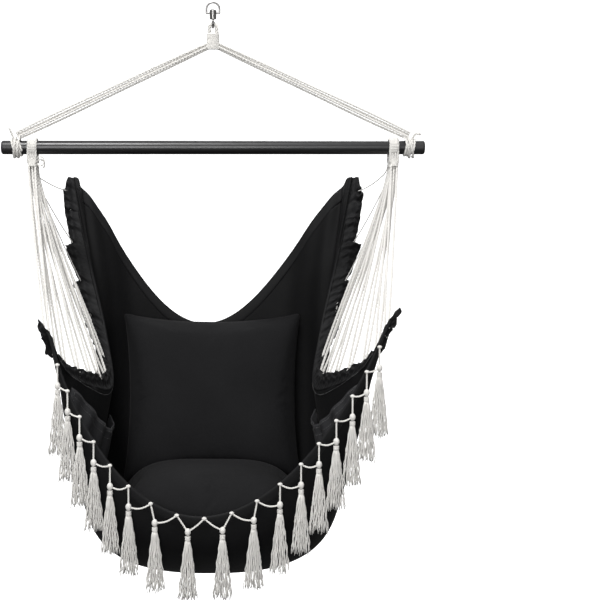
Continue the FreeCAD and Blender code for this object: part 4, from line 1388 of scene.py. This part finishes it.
class HAMMOCK_OT_tassels(Maker, bpy.types.Operator):
    """Tie the tassels on the fringe cord"""
    bl_idname = "hammock.tassels"
    bl_label = "Tassels"

    def make(self, sizes):
        rng = random.Random(7)
        knots = fringe_knots(fringe_peaks())
        third = len(knots) // 3
        groups = {"left": knots[:third + 1], "middle": knots[third + 1:-third - 1], "right": knots[-third - 1:]}
        head = tassel_head(0.0062)
        for name, places in groups.items():
            parts = []
            for knot in places:
                parts.append(skirt("skirt", knot, sizes, rng))
                copy = copied(head)
                for vertex in copy.data.vertices:
                    vertex.co += knot + Vector((0, 0, 0.0036))
                shade_round(copy.data)
                parts.append(copy)
            dress(joined("tassels_tied_" + name, parts), "tassel_yarn", "tassel_yarn", "seat", "tassels_" + name)
        bpy.data.objects.remove(head)


# ---------------------------------------------------------------- stage


class HAMMOCK_OT_stage(Maker, bpy.types.Operator):
    """Set the floor, the lights and the camera"""
    bl_idname = "hammock.stage"
    bl_label = "Stage"

    def make(self, sizes):
        floor_z = CAD_BOX[0][2] - 0.32
        deselect()
        bpy.ops.mesh.primitive_grid_add(x_subdivisions=40, y_subdivisions=60, size=16, location=(0, 0, floor_z))
        floor = settled(bpy.context.active_object)
        for vertex in floor.data.vertices:
            back = max(0.0, vertex.co.y - 3.0)
            vertex.co.z += min(back ** 2 * 0.35, 5.0)
        shade_round(floor.data)
        floor.name = "studio_floor"
        floor.data.materials.append(material("floor"))
        floor.visible_diffuse = floor.visible_glossy = False

        world = bpy.data.worlds.new("studio")
        world.use_nodes = True
        tree = world.node_tree
        sky = tree.nodes["Background"]
        split = tree.nodes.new("ShaderNodeSeparateXYZ")
        ramp = tree.nodes.new("ShaderNodeMapRange")
        ray = tree.nodes.new("ShaderNodeLightPath")
        seen = tree.nodes.new("ShaderNodeMath")
        seen.operation = "MAXIMUM"
        tree.links.new(tree.nodes.new("ShaderNodeTexCoord").outputs["Generated"], split.inputs[0])
        tree.links.new(split.outputs["Z"], ramp.inputs["Value"])
        for socket, value in (("From Min", -0.5), ("From Max", 0.9), ("To Min", 0.12), ("To Max", 0.60)):
            ramp.inputs[socket].default_value = value
        tree.links.new(ramp.outputs[0], seen.inputs[0])
        tree.links.new(ray.outputs["Is Camera Ray"], seen.inputs[1])
        tree.links.new(seen.outputs[0], sky.inputs["Strength"])
        sky.inputs["Color"].default_value = (1, 1, 1, 1)
        bpy.context.scene.world = world
        bpy.context.scene.view_settings.view_transform = "Standard"
        aim = Vector((0, 0, -0.75))
        for name, spot, size, power in (("key", (-0.9, -1.9, 3.6), 1.0, 180), ("rim", (0.8, 2.8, 2.2), 1.6, 45),
                                        ("front", (-0.5, -4.4, 0.2), 1.8, 112)):
            light = bpy.data.lights.new(name, "AREA")
            light.shape = "DISK"
            light.size = size
            light.energy = power
            lamp = bpy.data.objects.new(name, light)
            lamp.location = spot
            lamp.rotation_euler = (aim - Vector(spot)).to_track_quat("-Z", "Y").to_euler()
            bpy.context.scene.collection.objects.link(lamp)

        away = 3.0
        rise = math.radians(6.5)
        data = bpy.data.cameras.new("camera")
        data.sensor_width = 36
        data.lens = 76
        data.shift_x = 0.145
        camera = bpy.data.objects.new("camera", data)
        camera.location = (0, -away * math.cos(rise), -0.6886 + away * math.sin(rise))
        camera.rotation_euler = (math.pi / 2 - rise, 0, 0)
        bpy.context.scene.collection.objects.link(camera)
        bpy.context.scene.camera = camera


OPERATORS = [HAMMOCK_OT_stage, HAMMOCK_OT_hanger, HAMMOCK_OT_bar, HAMMOCK_OT_top_loop, HAMMOCK_OT_hanger_ropes,
             HAMMOCK_OT_hitches, HAMMOCK_OT_cuffs, HAMMOCK_OT_support_cords, HAMMOCK_OT_back_strings,
             HAMMOCK_OT_sling, HAMMOCK_OT_side_hems, HAMMOCK_OT_edge_ropes, HAMMOCK_OT_pockets,
             HAMMOCK_OT_back_cushion, HAMMOCK_OT_seat_cushion, HAMMOCK_OT_fringe, HAMMOCK_OT_tassels]


class HAMMOCK_PT_chair(bpy.types.Panel):
    """The chair's settings and its pieces"""
    bl_idname = "HAMMOCK_PT_chair"
    bl_label = "Hammock Chair"
    bl_space_type = "VIEW_3D"
    bl_region_type = "UI"
    bl_category = "Hammock Chair"

    def draw(self, context):
        for group in (context.scene.hammock_sizes, context.scene.hammock_colours):
            box = self.layout.box()
            for name in group.bl_rna.properties.keys():
                if name not in ("rna_type", "name"):
                    box.prop(group, name)
        for operator in OPERATORS:
            self.layout.operator(operator.bl_idname)


CLASSES = [HammockSizes, HammockColours, *OPERATORS, HAMMOCK_PT_chair]


def register():
    for one in CLASSES:
        bpy.utils.register_class(one)
    bpy.types.Scene.hammock_sizes = PointerProperty(type=HammockSizes)
    bpy.types.Scene.hammock_colours = PointerProperty(type=HammockColours)


def unregister():
    del bpy.types.Scene.hammock_colours
    del bpy.types.Scene.hammock_sizes
    for one in reversed(CLASSES):
        bpy.utils.unregister_class(one)


def main():
    register()
    for operator in OPERATORS:
        group, name = operator.bl_idname.split(".")
        getattr(getattr(bpy.ops, group), name)()


if __name__ == "__main__":
    main()
